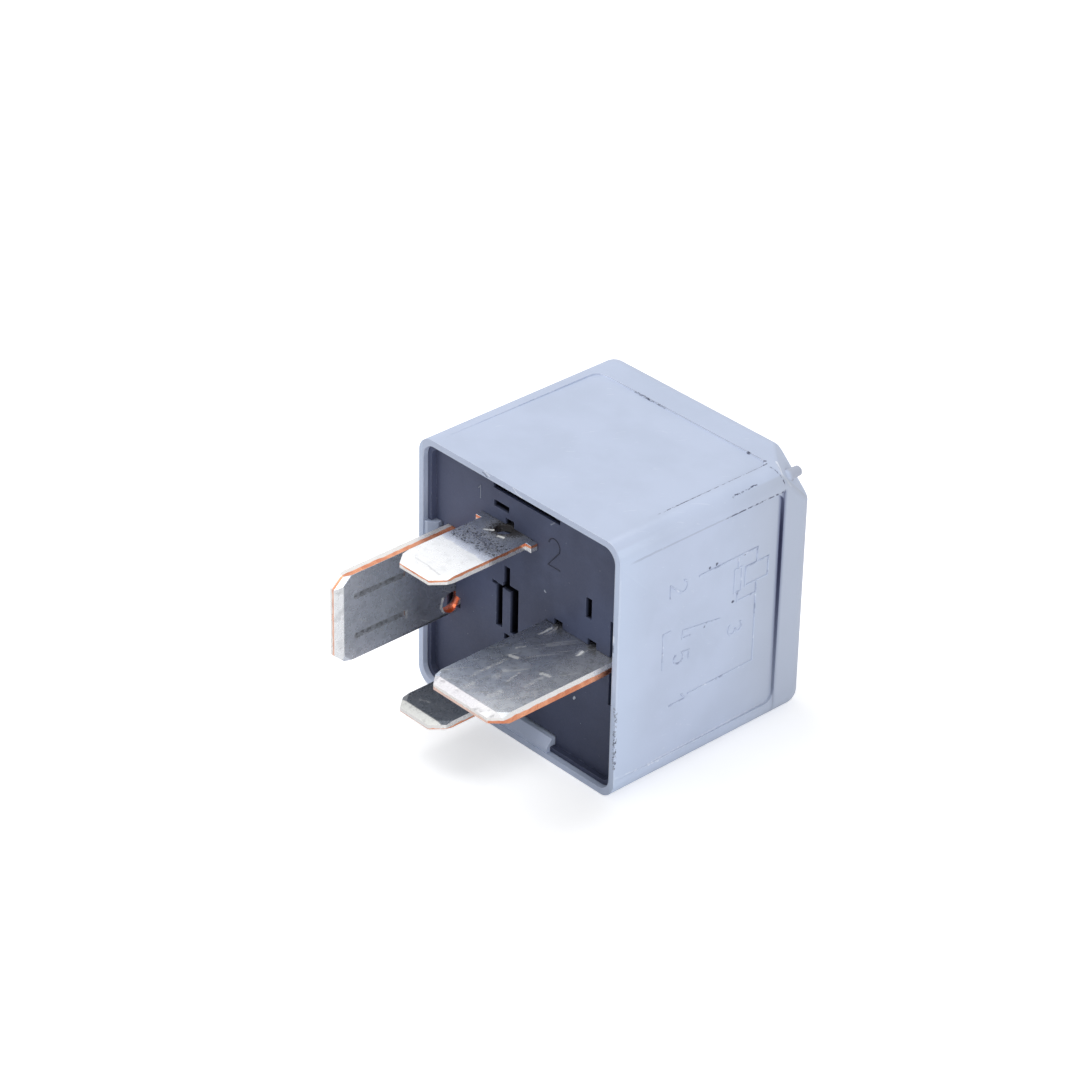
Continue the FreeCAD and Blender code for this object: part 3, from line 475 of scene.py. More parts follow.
def makeCoverDirt(tree, place, onSide, onTop):
    # a dark line in the step at the end rim, and dotted scratches along the panels' borders
    x, y, z = split(tree, place)

    def line(name, across, middle, along):
        width, start, end, gapSize, share, waver, strength = cover[name]
        away = calc(tree, "SUBTRACT", across, middle)
        mask = useGroup(tree, brokenLine, {"Place": place, "Across": away, "Along": along, "Width": width,
                                           "From": start, "To": end, "Gap Size": gapSize, "Cover": share,
                                           "Waver": waver})["Mask"]
        return times(tree, mask, strength)

    fading = times(tree, ramp(tree, z, *cover["seamLowZ"]), ramp(tree, z, *cover["seamHighZ"]))
    return strongest(tree,
                     times(tree, line("sideSeam", y, cover["seamY"], z), onSide, fading),
                     times(tree, line("topSeam", y, cover["seamY"], x), onTop),
                     times(tree, line("sideBorder", z, cover["sideBorderZ"], y), onSide),
                     times(tree, line("topBorder", x, cover["topBorderX"], y), onTop),
                     times(tree, line("faintBorder", z, cover["sideBorderZ"], y), onSide),
                     drawMarks(tree, place, cover["darkMarks"]))


def makePip(tree, place):
    # the round gate mark on the corner's facet
    away = vector(tree, "MULTIPLY", vector(tree, "SUBTRACT", place, cover["pipPlace"]), (1, 0, 1))
    near = ramp(tree, vector(tree, "LENGTH", away), *cover["pipRadius"])
    return times(tree, ramp(tree, split(tree, place)[1], *cover["pipY"]), near)


def makeCoverPlastic():
    material, tree, shader, place = newMaterial("coverPlastic", IOR=1.5)
    x, y, z = split(tree, place)
    onSide = ramp(tree, calc(tree, "ABSOLUTE", x), *cover["sideX"])
    onTop = ramp(tree, z, *cover["topZ"])
    dirt = makeCoverDirt(tree, place, onSide, onTop)

    # painted soft shade that leads into the side's step, stronger towards the top
    near = times(tree, band(tree, y, *cover["shadeY"]), onSide, ramp(tree, z, *cover["shadeTopZ"]),
                 ramp(tree, z, *cover["shadeZ"]))
    rubs = scratches(tree, place, cover, cover["rubTurn"], cover["rubs"])
    # the step face at the end rim, painted lighter: a painted highlight
    ledge = times(tree, facing(tree, (0, 1, 0)), band(tree, y, *cover["ledgeY"]), onTop)
    light = strongest(tree, times(tree, rubs, cover["rubStrength"]), wornEdges(tree, place, cover), ledge,
                      drawMarks(tree, place, cover["lightMarks"]))
    # the inner walls behind the mouth, painted dark as shade
    reach = strongest(tree, calc(tree, "ABSOLUTE", x), calc(tree, "ABSOLUTE", z))
    within = times(tree, ramp(tree, reach, *cover["innerReach"]), band(tree, y, *cover["innerY"]))

    colour = layered(tree, stock(tree, place, cover), [
        (light, cover["scuffAndHighlight"]),
        # painted light: the sides lighter towards the mouth
        (times(tree, ramp(tree, y, *cover["mouthBandY"]), onSide), cover["mouthPaintedLight"]),
        (times(tree, ramp(tree, y, *cover["endBandY"]), onSide), cover["endBand"]),
        (makePip(tree, place), cover["pip"]),
        (near, cover["softShadeAndGrime"]),
        (dirt, cover["grime"]),
        (within, cover["inside"]),
    ])
    dress(tree, shader, place, colour, cover,
          pressed=[(dirt, cover["dirtDepth"]), (rubs, cover["rubDepth"])])
    return material


def makeRaisedPlastic():
    # the cover's raised lines: the same plastic, with dirt caught along parts of them
    material, tree, shader, place = newMaterial("raisedPlastic", IOR=1.5)
    bright = ramp(tree, speckle(tree, place, *cover["brightNoise"]), *cover["brightLevel"])
    caught = ramp(tree, speckle(tree, place, *cover["caughtNoise"]), *cover["caughtLevel"])
    colour = layered(tree, stock(tree, place, cover),
                     [(bright, cover["scuffAndHighlight"]), (caught, cover["softShadeAndGrime"])])
    dress(tree, shader, place, colour, cover)
    return material


# Base
base = {
    "colour": (72, 78, 101),
    "dull": (82, 90, 116),
    "driftSize": 5.0,
    "drift": 0.8,
    "grain": 0.14,
    "rough": (0.46, 0.6),
    "bump": 0.005,
    "low": (56, 62, 84),
    "left": (88, 95, 122),
    # painted shade deep in the slots
    "slotShade": (9, 10, 22),
    "mark": (28, 30, 44),
    "dust": (188, 194, 206),
    "faceY": 1.2,
    # painted shade towards the bottom and painted light towards the left, as (from, to, strength at the
    # first, at the second)
    "lowZ": (3.0, -13.0, 0.0, 0.8),
    "leftX": (2.0, -13.0, 0.0, 0.6),
    "leftZ": (-12.0, 0.0),
    "slotDepth": (0.06, 0.45),
    "edgeRadius": 0.12,
    "edgeBreaks": 2.2,
    "edgeWear": 0.2,
    "speckNoise": (4.5, 1.0),
    "speckLevel": (0.8, 0.83),
    "speckStrength": 0.5,
    "markShare": 0.8,
    "chalkShare": 0.35,
    "lightMarks": [
        ((2.76, 1.2, 3.66), (2.76, 1.2, 3.66), 0.16, 0.9, 0.0),
        ((7.06, 1.2, -6.33), (7.2, 1.2, -6.1), 0.16, 1.0, 0.0),
        ((-1.1, 1.2, 12.6), (-0.55, 1.2, 12.15), 0.1, 0.8, 0.0),
        ((3.4, 1.2, 11.3), (3.9, 1.2, 11.7), 0.1, 0.5, 0.4),
    ],
}


def makeBasePlastic(name="basePlastic", tint=None, share=0.0):
    material, tree, shader, place = newMaterial(name, IOR=1.45, Specular_IOR_Level=0.35)
    x, y, z = split(tree, place)
    # painted light on the left of the face
    left = times(tree, ramp(tree, x, *base["leftX"]), ramp(tree, z, *base["leftZ"]))
    specks = ramp(tree, speckle(tree, place, *base["speckNoise"]), *base["speckLevel"])
    light = strongest(tree, times(tree, specks, base["speckStrength"]), wornEdges(tree, place, base),
                      drawMarks(tree, place, base["lightMarks"]))
    # the slots darken with depth: painted shade
    shallow, deep = base["slotDepth"]
    inSlot = ramp(tree, y, base["faceY"] + shallow, base["faceY"] + deep)

    colour = layered(tree, stock(tree, place, base), [
        # painted shade towards the bottom, then painted light towards the left
        (ramp(tree, z, *base["lowZ"]), base["low"]),
        (left, base["left"]),
        (light, base["dust"]),
        (inSlot, base["slotShade"]),
    ])
    if tint:
        colour = layered(tree, colour, [(share, tint)])
    dress(tree, shader, place, colour, base)
    return material


# Blades
blades = {
    # bare copper of the cut edges, then the skin that it shares with the tin
    "colour": (240, 168, 130),
    "dull": (204, 118, 84),
    "driftSize": 1.3,
    "drift": 0.8,
    "grain": 0.8,
    "rough": (0.24, 0.32),
    "bump": 0.0015,
    "burnt": (96, 52, 38),
    "smear": (238, 236, 234),
    "stain": (64, 66, 74),
    # scuffs, sparks and rubs, and also the painted sheen and highlights
    "light": (250, 251, 248),
    # soot and specks, and also painted shade at the root holes and painted shadows behind the barbs
    "dark": (30, 27, 28),
    # each noise as (scale, detail, roughness), and where along it the mark shows
    "cloudNoise": (0.8, 4.0, 0.6),
    "bareNoise": (1.1, 4.0),
    "stainNoise": (1.1, 4.0, 0.6),
    "stainLevel": (0.5, 0.7),
    "stainStrength": 0.6,
    "grainNoise": (5.5, 2.0),
    "grainLevel": (0.52, 0.6),
    "sparkNoise": (6.5, 1.0),
    "sparkLevel": (0.42, 0.36),
    "sparkStrength": 0.6,
    "rubStrength": 0.3,
    "rubSpacing": 0.34,
    "rubLength": 5.0,
    "rubDepth": 0.1,
    "cutFacing": (0.32, 0.12),
    "bareSoft": 0.08,
    "bareWaver": 0.35,
    "burntY": (-1.2, 1.1),
    # distances from the tip: where its pale edge ends, and where the tones begin to waver
    "tipEdge": (0.12, 0.02),
    "waverFrom": (1.1, 2.5),
    "waver": 0.9,
    "pepperSoft": 0.3,
    "pepperWaver": 1.2,
    "stainRough": 0.15,
    "sootAndShadeRough": 0.3,
    "markPlain": 0.25,
}
# Each blade has axis, the way that its tin faces, bare, where copper shows across the cut edge, metal,
# how metallic the tin is, burnt, how far the copper darkens at the root, and paleTip, how much tin
# covers the tip's edge. plain is the stretch from the tip that reflects less, as (to Y, fade, share):
# with its pale tones it is a painted reflection on the tip's bevel, and on the upper blade a painted
# glare. sheen is a painted sheen, a lighter side as (from, to, share) across the width, and pepper a
# speckled band as (from Y, to Y, share). tones go along Y from the tip, stains is how far the tin is
# mottled, and turn and rubs are the way and amount of its fine scratches. Marks are (from, to, width,
# strength, breaks), and rootMarks colour the cut edge at the root, on the upper and lower blades as
# painted shade in the root hole.
loadBlade = {
    "axis": (1, 0, 0),
    "bare": (-10.52, -9.9),
    "metal": 0.6,
    "burnt": 0.0,
    "paleTip": 0.3,
    "plain": (-12.85, 0.1, 0.0),
    "sheen": (1.5, 4.0, 0.1),
    "rootMarks": [((-10.9, 0.75, -3.45), (-9.95, 0.75, -3.45), 2.6, 0.9, 0.0)],
    "rootColour": (232, 104, 52),
    "tones": [(-13.8, (246, 248, 250)), (-12.9, (244, 246, 249)), (-12.75, (212, 218, 229)),
              (-11.0, (206, 212, 225)), (-9.6, (196, 203, 216)), (-7.5, (192, 200, 213)),
              (-4.5, (158, 165, 179)), (-3.5, (140, 145, 158)), (1.2, (146, 150, 162))],
    "pepper": (-13.0, 1.0, 0.06),
    "stains": 0.45,
    "turn": (0.5, 0.0, 0.0),
    "rubs": 0.4,
    "darkMarks": [
        ((-10.0, -11.3, 2.2), (-10.0, -5.4, 2.2), 0.45, 0.85, 0.35),
        ((-10.0, -11.3, -2.2), (-10.0, -5.4, -2.2), 0.45, 0.85, 0.35),
    ],
    "lightMarks": [
        ((-9.97, -5.1, -2.75), (-9.97, -5.0, -2.1), 0.2, 0.35, 0.0),
        ((-9.97, -0.45, -2.6), (-9.97, -0.65, -3.5), 0.22, 0.9, 0.0),
        ((-9.97, -0.65, -3.5), (-9.97, -0.3, -4.2), 0.2, 0.7, 0.0),
    ],
}
feedBlade = {
    "axis": (0, 0, 1),
    "bare": (-0.65, -0.03),
    "metal": 0.8,
    "burnt": 0.85,
    "paleTip": 0.5,
    # the pale, less metallic tip is a painted reflection on its bevel
    "plain": (-12.85, 0.1, 0.9),
    # a painted sheen towards +X
    "sheen": (7.8, 11.8, 0.4),
    "rootMarks": [((12.1, 1.2, -0.4), (12.1, 0.6, -0.4), 0.9, 0.6, 0.3)],
    "rootColour": (96, 52, 38),
    "tones": [(-13.8, (219, 217, 222)), (-12.85, (219, 217, 222)), (-12.7, (216, 222, 232)),
              (-10.0, (194, 202, 216)), (-8.0, (194, 202, 217)), (-6.0, (170, 178, 192)),
              (-4.0, (166, 173, 187)), (-2.0, (152, 157, 170)), (1.2, (154, 159, 172))],
    "pepper": (-13.0, 1.0, 0.04),
    "stains": 0.8,
    "turn": (0.0, 0.0, 0.5),
    "rubs": 0.7,
    "darkMarks": [
        ((8.7, -9.0, 0.6), (8.6, -8.1, 0.6), 0.22, 0.6, 0.2),
        ((6.6, -10.2, 0.6), (6.7, -9.3, 0.6), 0.2, 0.5, 0.2),
        ((7.4, -7.4, 0.6), (7.3, -6.2, 0.6), 0.2, 0.5, 0.3),
        ((7.1, -7.0, 0.6), (7.6, -5.9, 0.6), 1.0, 0.35, 0.5),
        ((5.0, -4.4, 0.6), (6.2, -3.6, 0.6), 0.9, 0.25, 0.5),
        # painted shadows behind the two barbs
        ((4.67, 1.2, 0.7), (4.67, 0.95, 0.9), 0.55, 0.9, 0.0),
        ((9.3, 1.25, 0.7), (9.3, 1.0, 0.9), 0.55, 0.9, 0.0),
    ],
    "lightMarks": [
        ((5.53, -10.4, 0.6), (5.63, -6.15, 0.6), 0.26, 0.55, 0.7),
        ((5.45, -5.5, 0.6), (6.1, -5.3, 0.6), 0.32, 0.8, 0.0),
        ((8.4, -8.6, 0.6), (8.1, -6.8, 0.6), 0.16, 0.5, 0.5),
        ((9.6, -5.35, 0.6), (10.3, -5.15, 0.6), 0.32, 0.75, 0.0),
        ((10.2, -8.0, 0.6), (10.1, -5.6, 0.6), 0.24, 0.45, 0.7),
        ((9.2, -11.5, 0.6), (9.3, -10.3, 0.6), 0.45, 0.45, 0.5),
        ((7.2, -9.0, 0.6), (6.9, -7.6, 0.6), 0.5, 0.35, 0.6),
        ((4.8, -4.2, 0.6), (5.1, -3.4, 0.6), 0.16, 0.5, 0.5),
        ((6.5, -12.3, 0.6), (6.6, -11.2, 0.6), 0.32, 0.45, 0.5),
        # painted highlights on the two barbs
        ((4.4, -0.95, 0.62), (4.65, 0.3, 0.8), 0.2, 0.8, 0.0),
        ((9.5, -0.85, 0.62), (9.5, 0.6, 0.8), 0.2, 0.8, 0.0),
    ],
}
upperBlade = {
    "axis": (0, 0, 1),
    "bare": (8.14, 8.6),
    "metal": 0.8,
    "burnt": 0.0,
    "paleTip": 0.0,
    # a painted glare: the outer stretch, less metallic, takes the white tones
    "plain": (-4.8, 1.4, 0.6),
    "sheen": (0.0, 1.0, 0.0),
    # the root hole's wall is painted dark: painted shade
    "rootMarks": [((-2.3, 0.5, 8.2), (-2.3, 0.5, 7.6), 2.4, 0.9, 0.0)],
    "rootColour": (52, 32, 26),
    "tones": [(-10.75, (252, 253, 255)), (-4.85, (250, 252, 255)), (-4.6, (222, 228, 242)),
              (-3.6, (205, 212, 228)), (-2.4, (178, 184, 200)), (-1.7, (184, 190, 205)),
              (-0.8, (168, 174, 188)), (1.2, (160, 165, 177))],
    "pepper": (-3.7, -1.5, 0.8),
    "stains": 0.2,
    "turn": (0.0, 0.0, 0.15),
    "rubs": 0.3,
    "darkMarks": [
        # painted shade in the root hole and around it, partly soot
        ((-2.3, 0.5, 8.4), (-1.7, 0.9, 8.4), 2.2, 0.95, 0.0),
        ((-2.3, 0.5, 8.1), (-2.3, 0.5, 7.6), 2.4, 1.0, 0.0),
        ((-3.9, -9.15, 8.45), (-2.0, -9.2, 8.45), 0.13, 0.22, 0.2),
        ((-2.0, -9.2, 8.45), (-0.2, -9.5, 8.45), 0.13, 0.28, 0.2),
    ],
    "lightMarks": [
        ((-3.5, -0.95, 8.45), (-2.85, -0.35, 8.45), 0.16, 0.75, 0.0),
        ((-1.75, -0.75, 8.45), (-1.25, -0.6, 8.45), 0.22, 0.75, 0.0),
    ],
}
lowerBlade = {
    "axis": (0, 0, 1),
    "bare": (-8.5, -8.24),
    "metal": 0.6,
    "burnt": 0.85,
    "paleTip": 0.5,
    # the pale, less metallic tip is a painted reflection on its bevel
    "plain": (-9.85, 0.1, 1.0),
    "sheen": (0.0, 1.0, 0.0),
    # the root hole's wall is painted dark: painted shade
    "rootMarks": [((-2.3, 0.5, -8.2), (-2.3, 0.5, -8.6), 2.4, 0.9, 0.0)],
    "rootColour": (52, 32, 26),
    "tones": [(-10.75, (246, 247, 242)), (-9.85, (246, 247, 242)), (-9.7, (124, 130, 139)),
              (-5.0, (114, 120, 129)), (1.2, (96, 100, 108))],
    "pepper": (-10.0, 1.0, 0.2),
    "stains": 0.5,
    "turn": (0.0, 0.0, 0.15),
    "rubs": 0.3,
    # painted shade in the root hole
    "darkMarks": [((-2.3, 0.5, -8.05), (-2.3, 0.5, -8.05), 1.5, 0.8, 0.0)],
    "lightMarks": [((-3.9, -8.6, -7.65), (-2.9, -8.2, -7.65), 0.16, 0.4, 0.4)],
}


def makeTin(tree, place, blade, wavy, cloud, width):
    # the broad faces: tones along the blade, a painted sheen across the width, stains, a speckled band and
    # rubbed lines
    mottle = ramp(tree, speckle(tree, place, *blades["stainNoise"]), *blades["stainLevel"], 0.0,
                  blade["stains"])
    pepperFrom, pepperTo, pepper = blade["pepper"]
    grains = ramp(tree, speckle(tree, place, *blades["grainNoise"]), *blades["grainLevel"])
    sparks = ramp(tree, speckle(tree, place, *blades["sparkNoise"]), *blades["sparkLevel"])
    ragged = calc(tree, "MULTIPLY_ADD", cloud, blades["pepperWaver"], split(tree, place)[1])
    inBand = times(tree, band(tree, ragged, pepperFrom, pepperTo, blades["pepperSoft"]), pepper)
    rubs = scratches(tree, place, blades, blade["turn"], blade["rubs"])
    sheenFrom, sheenTo, sheen = blade["sheen"]
    tin = layered(tree, toneRamp(tree, wavy, blade["tones"]), [
        (ramp(tree, width, sheenFrom, sheenTo, 0.0, sheen), blades["light"]),
        (times(tree, mottle, blades["stainStrength"]), blades["stain"]),
        (times(tree, grains, inBand), blades["stain"]),
        (times(tree, sparks, inBand, blades["sparkStrength"]), blades["light"]),
        (times(tree, rubs, blades["rubStrength"]), blades["light"]),
    ])
    return tin, mottle, rubs


def makeCutEdge(tree, place, blade, across):
    # bare copper between smears of tin, burnt at the root and pale at the tip
    y = split(tree, place)[1]
    tip = blade["tones"][0][0]
    uneven = calc(tree, "SUBTRACT", speckle(tree, place, *blades["bareNoise"]), 0.5)
    rolled = calc(tree, "MULTIPLY_ADD", uneven, blades["bareWaver"], across)
    bare = band(tree, rolled, *blade["bare"], blades["bareSoft"])
    burnt = layered(tree, stock(tree, place, blades),
                    [(ramp(tree, y, *blades["burntY"], 0.0, blade["burnt"]), blades["burnt"])])
    tipFrom, tipTo = blades["tipEdge"]
    atTip = ramp(tree, y, tip + tipFrom, tip + tipTo, 0.0, blade["paleTip"])
    shown = times(tree, bare, calc(tree, "SUBTRACT", 1.0, atTip))
    edge = mixColour(tree, shown, shade(*blades["smear"]), burnt)
    return layered(tree, edge, [(drawMarks(tree, place, blade["rootMarks"]), blade["rootColour"])])


def makeTinnedCopper(name, blade):
    # tin on the broad faces, bare copper with smears of tin on the cut edges
    material, tree, shader, place = newMaterial(name, IOR=1.5)
    x, y, z = split(tree, place)
    across, width = (z, x) if blade["axis"][2] else (x, z)
    tip = blade["tones"][0][0]
    waverFrom, waverTo = blades["waverFrom"]
    cloud = calc(tree, "SUBTRACT", speckle(tree, place, *blades["cloudNoise"]), 0.5)
    waver = times(tree, cloud, ramp(tree, y, tip + waverFrom, tip + waverTo, 0.0, blades["waver"]))
    wavy = calc(tree, "ADD", waver, y)
    tin, mottle, rubs = makeTin(tree, place, blade, wavy, cloud, width)
    cut = ramp(tree, facing(tree, blade["axis"]), *blades["cutFacing"])
    # soot and specks, with painted shade in the root holes and painted shadows behind the barbs
    sootAndShade = drawMarks(tree, place, blade["darkMarks"])
    # scuffs and burrs, with painted highlights on the barbs
    bright = drawMarks(tree, place, blade["lightMarks"])
    colour = mixColour(tree, cut, tin, makeCutEdge(tree, place, blade, across))
    colour = layered(tree, colour, [(sootAndShade, blades["dark"]), (bright, blades["light"])])

    # the plain stretch at the tip reflects less and takes the pale tones: a painted reflection, and on the
    # upper blade a painted glare
    plainTo, fade, share = blade["plain"]
    plain = strongest(tree, sootAndShade, times(tree, bright, blades["markPlain"]),
                      ramp(tree, wavy, plainTo + fade, plainTo, 0.0, share))
    metal = times(tree, calc(tree, "SUBTRACT", 1.0, plain), blade["metal"])
    tree.links.new(metal, shader.inputs["Metallic"])
    dress(tree, shader, place, colour, blades, pressed=[(rubs, blades["rubDepth"])],
          rougher=[(mottle, blades["stainRough"]), (sootAndShade, blades["sootAndShadeRough"])])
    return material


# Inner pieces
def innerFinish(colour, dull, driftSize, rough, bumpHeight, grain=0.12, drift=0.9):
    return {"colour": colour, "dull": dull, "driftSize": driftSize, "drift": drift, "grain": grain,
            "rough": rough, "bump": bumpHeight}


# each finish is its colour, its duller one, the size of the drift, the roughness and the bump
inner = {
    "steel": innerFinish((150, 150, 148), (118, 117, 116), 3.0, (0.3, 0.44), 0.004),
    "bronze": innerFinish((196, 148, 92), (170, 124, 72), 3.0, (0.22, 0.36), 0.004),
    "silver": innerFinish((214, 212, 206), (190, 186, 178), 3.0, (0.14, 0.28), 0.004),
    "rivets": innerFinish((168, 168, 166), (132, 130, 128), 3.0, (0.24, 0.38), 0.004),
    "leads": innerFinish((206, 208, 208), (168, 171, 170), 3.0, (0.19, 0.33), 0.004),
    "bobbin": innerFinish((44, 46, 50), (58, 60, 64), 4.0, (0.4, 0.55), 0.005, drift=0.8),
    "ceramic": innerFinish((188, 170, 132), (170, 150, 112), 2.0, (0.36, 0.5), 0.006,
                           grain=0.15, drift=0.8),
    "rubTurn": (0.1, 0.4, 0.2),
    "rubSpacing": 0.12,
    "rubLength": 4.0,
    "wire": (150, 74, 38),
    "wireCrestHighlight": (196, 108, 58),
    "wirePitch": 0.2,
    "wireNoise": (1.2, 3.0),
    "wireWaver": 0.8,
    "wireLevel": (-0.6, 1.2),
    "wireRough": (0.26, 0.4),
    "wireBump": 0.03,
    # the resistor's rings as (Z, colour), and how far each reaches
    "rings": [(-1.7, (92, 56, 38)), (-0.7, (40, 60, 130)), (0.3, (92, 56, 38)), (1.9, (176, 140, 60))],
    "ringReach": (0.26, 0.22),
}


def makeInnerMetal(name, surface, brushed=0.4):
    material, tree, shader, place = newMaterial(name, Metallic=1.0)
    rubs = scratches(tree, place, inner, inner["rubTurn"], brushed)
    colour = stock(tree, place, inner[surface])
    dress(tree, shader, place, colour, inner[surface], pressed=[(rubs, 1.0)])
    return material


def makeBobbinPlastic():
    material, tree, shader, place = newMaterial("bobbinPlastic", IOR=1.5)
    dress(tree, shader, place, stock(tree, place, inner["bobbin"]), inner["bobbin"])
    return material


def makeEnamelledWire():
    # fine turns of wire as ridges round the coil, with a painted highlight on the crest of each turn
    material, tree, shader, place = newMaterial("enamelledWire", Metallic=0.6, Coat_Weight=0.6,
                                                Coat_Roughness=0.15)
    y = split(tree, place)[1]
    turns = calc(tree, "SINE", times(tree, y, 2 * math.pi / inner["wirePitch"]))
    wander = speckle(tree, place, *inner["wireNoise"])
    mask = ramp(tree, calc(tree, "ADD", turns, times(tree, wander, inner["wireWaver"])), *inner["wireLevel"])
    colour = mixColour(tree, mask, shade(*inner["wire"]), shade(*inner["wireCrestHighlight"]))
    tree.links.new(colour, shader.inputs["Base Color"])
    tree.links.new(ramp(tree, wander, *noiseSpread, *inner["wireRough"]), shader.inputs["Roughness"])
    bump(tree, shader, turns, inner["wireBump"])
    return material


def makeResistorCeramic():
    # pale body with plain colour rings
    material, tree, shader, place = newMaterial("resistorCeramic", IOR=1.5)
    z = split(tree, place)[2]
    colour = stock(tree, place, inner["ceramic"])
    for at, ring in inner["rings"]:
        away = calc(tree, "ABSOLUTE", calc(tree, "SUBTRACT", z, at))
        colour = layered(tree, colour, [(ramp(tree, away, *inner["ringReach"]), ring)])
    dress(tree, shader, place, colour, inner["ceramic"])
    return material


coverPlastic = makeCoverPlastic()
raisedPlastic = makeRaisedPlastic()
basePlastic = makeBasePlastic()
markPlastic = makeBasePlastic("markPlastic", base["mark"], base["markShare"])
chalkPlastic = makeBasePlastic("chalkPlastic", base["dust"], base["chalkShare"])
tinnedLoad = makeTinnedCopper("tinnedCopperLoad", loadBlade)
tinnedFeed = makeTinnedCopper("tinnedCopperFeed", feedBlade)
tinnedUpper = makeTinnedCopper("tinnedCopperUpper", upperBlade)
tinnedLower = makeTinnedCopper("tinnedCopperLower", lowerBlade)
frameSteel = makeInnerMetal("frameSteel", "steel")
springBronze = makeInnerMetal("springBronze", "bronze")
contactSilver = makeInnerMetal("contactSilver", "silver", brushed=0.2)
rivetSteel = makeInnerMetal("rivetSteel", "rivets")
tinnedWire = makeInnerMetal("tinnedWire", "leads", brushed=0.2)
bobbinPlastic = makeBobbinPlastic()
enamelledWire = makeEnamelledWire()
resistorCeramic = makeResistorCeramic()
print("materials made")


# The pieces from the frame
finishes = {
    "cover": coverPlastic,
    "base": basePlastic,
    "terminal_87": tinnedLoad,
    "terminal_30": tinnedFeed,
    "terminal_85": tinnedUpper,
    "terminal_86": tinnedLower,
    "yoke": frameSteel,
    "core": frameSteel,
    "armature": frameSteel,
    "bobbin": bobbinPlastic,
    "coil_winding": enamelledWire,
    "contact_spring": springBronze,
    "moving_contact": contactSilver,
    "fixed_contact": contactSilver,
    "armature_rivets": rivetSteel,
    "yoke_rivets": rivetSteel,
    "terminal_rivet": rivetSteel,
    "resistor": resistorCeramic,
    "resistor_lead_85": tinnedWire,
    "resistor_lead_86": tinnedWire,
}
# how far each piece's sharp edges are rounded
softEdges = {"cover": 0.1, "base": 0.05, "terminal_87": 0.06, "terminal_30": 0.06,
             "terminal_85": 0.05, "terminal_86": 0.05, "yoke": 0.08, "armature": 0.06, "bobbin": 0.06}
sharpFrom = 28  # degrees between two faces


def finish(piece, material):
    piece.data.materials.clear()
    piece.data.materials.append(material)


def soften(piece, width):
    weld = piece.modifiers.new("weld", "WELD")
    weld.merge_threshold = weldGap * mm
    bevel = piece.modifiers.new("softEdges", "BEVEL")
    bevel.width = width * mm
    bevel.segments = 2
    bevel.limit_method = "ANGLE"
    bevel.angle_limit = math.radians(sharpFrom)
    bevel.use_clamp_overlap = True
    bevel.harden_normals = True


for name, material in finishes.items():
    finish(cad[name], material)
for name, width in softEdges.items():
    soften(cad[name], width)
print("frame pieces finished")


# Raised lines and digits
ridgeSink = 0.03  # how deep a ridge's feet go into the face, so that no gap shows


def newPiece(name, mesh, material, body=None):
    mesh.normal_update()
    data = bpy.data.meshes.new(name)
    mesh.to_mesh(data)
    mesh.free()
    data.materials.append(material)
    piece = bpy.data.objects.new(name, data)
    bpy.context.scene.collection.objects.link(piece)
    if body:
        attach(piece, body)
    return piece


def ridge(mesh, path, width, height, place, closed=False):
    # a low ridge with sloped flanks along a flat path, laid on a surface by place(u, v, h)
    count = len(path)
    profile = ((-width / 2, -ridgeSink), (-width / 4, height), (width / 4, height), (width / 2, -ridgeSink))
    rows = []
    for i, (u, v) in enumerate(path):
        before = path[(i - 1) % count] if closed or i > 0 else None
        after = path[(i + 1) % count] if closed or i < count - 1 else None
        steps = []
        if before:
            steps.append(Vector((u - before[0], v - before[1])).normalized())
        if after:
            steps.append(Vector((after[0] - u, after[1] - v)).normalized())
        along = sum(steps, Vector((0, 0))).normalized()
        side = Vector((-along.y, along.x))
        # a sharp corner is drawn out to twice the width at most
        stretch = 1 / max(0.5, along.dot(steps[0]))
        row = []
        for offset, h in profile:
            p = Vector((u, v)) + side * offset * stretch
            row.append(mesh.verts.new(place(p.x, p.y, h)))
        rows.append(row)
    pairs = list(zip(rows, rows[1:]))
    if closed:
        pairs.append((rows[-1], rows[0]))
    for a, b in pairs:
        for k in range(3):
            mesh.faces.new((a[k], a[k + 1], b[k + 1], b[k]))
    if not closed:
        mesh.faces.new(reversed(rows[0]))
        mesh.faces.new(rows[-1])


def arc(cx, cy, rx, ry, start, end, steps=10):
    angles = [math.radians(start + (end - start) * i / steps) for i in range(steps + 1)]
    return [(cx + rx * math.cos(a), cy + ry * math.sin(a)) for a in angles]


# strokes of the digits in a box one unit high and wide
digitStrokes = {
    "1": [[(0.1, 0.72), (0.62, 1.0), (0.62, 0.0)]],
    "2": [arc(0.5, 0.72, 0.45, 0.28, 165, -25) + [(0.05, 0.0), (1.0, 0.0)]],
    "3": [arc(0.48, 0.76, 0.42, 0.24, 150, -80) + arc(0.48, 0.27, 0.47, 0.27, 80, -155)],
    "5": [[(0.92, 1.0), (0.2, 1.0), (0.12, 0.55)] + arc(0.48, 0.32, 0.45, 0.32, 125, -145)],
}

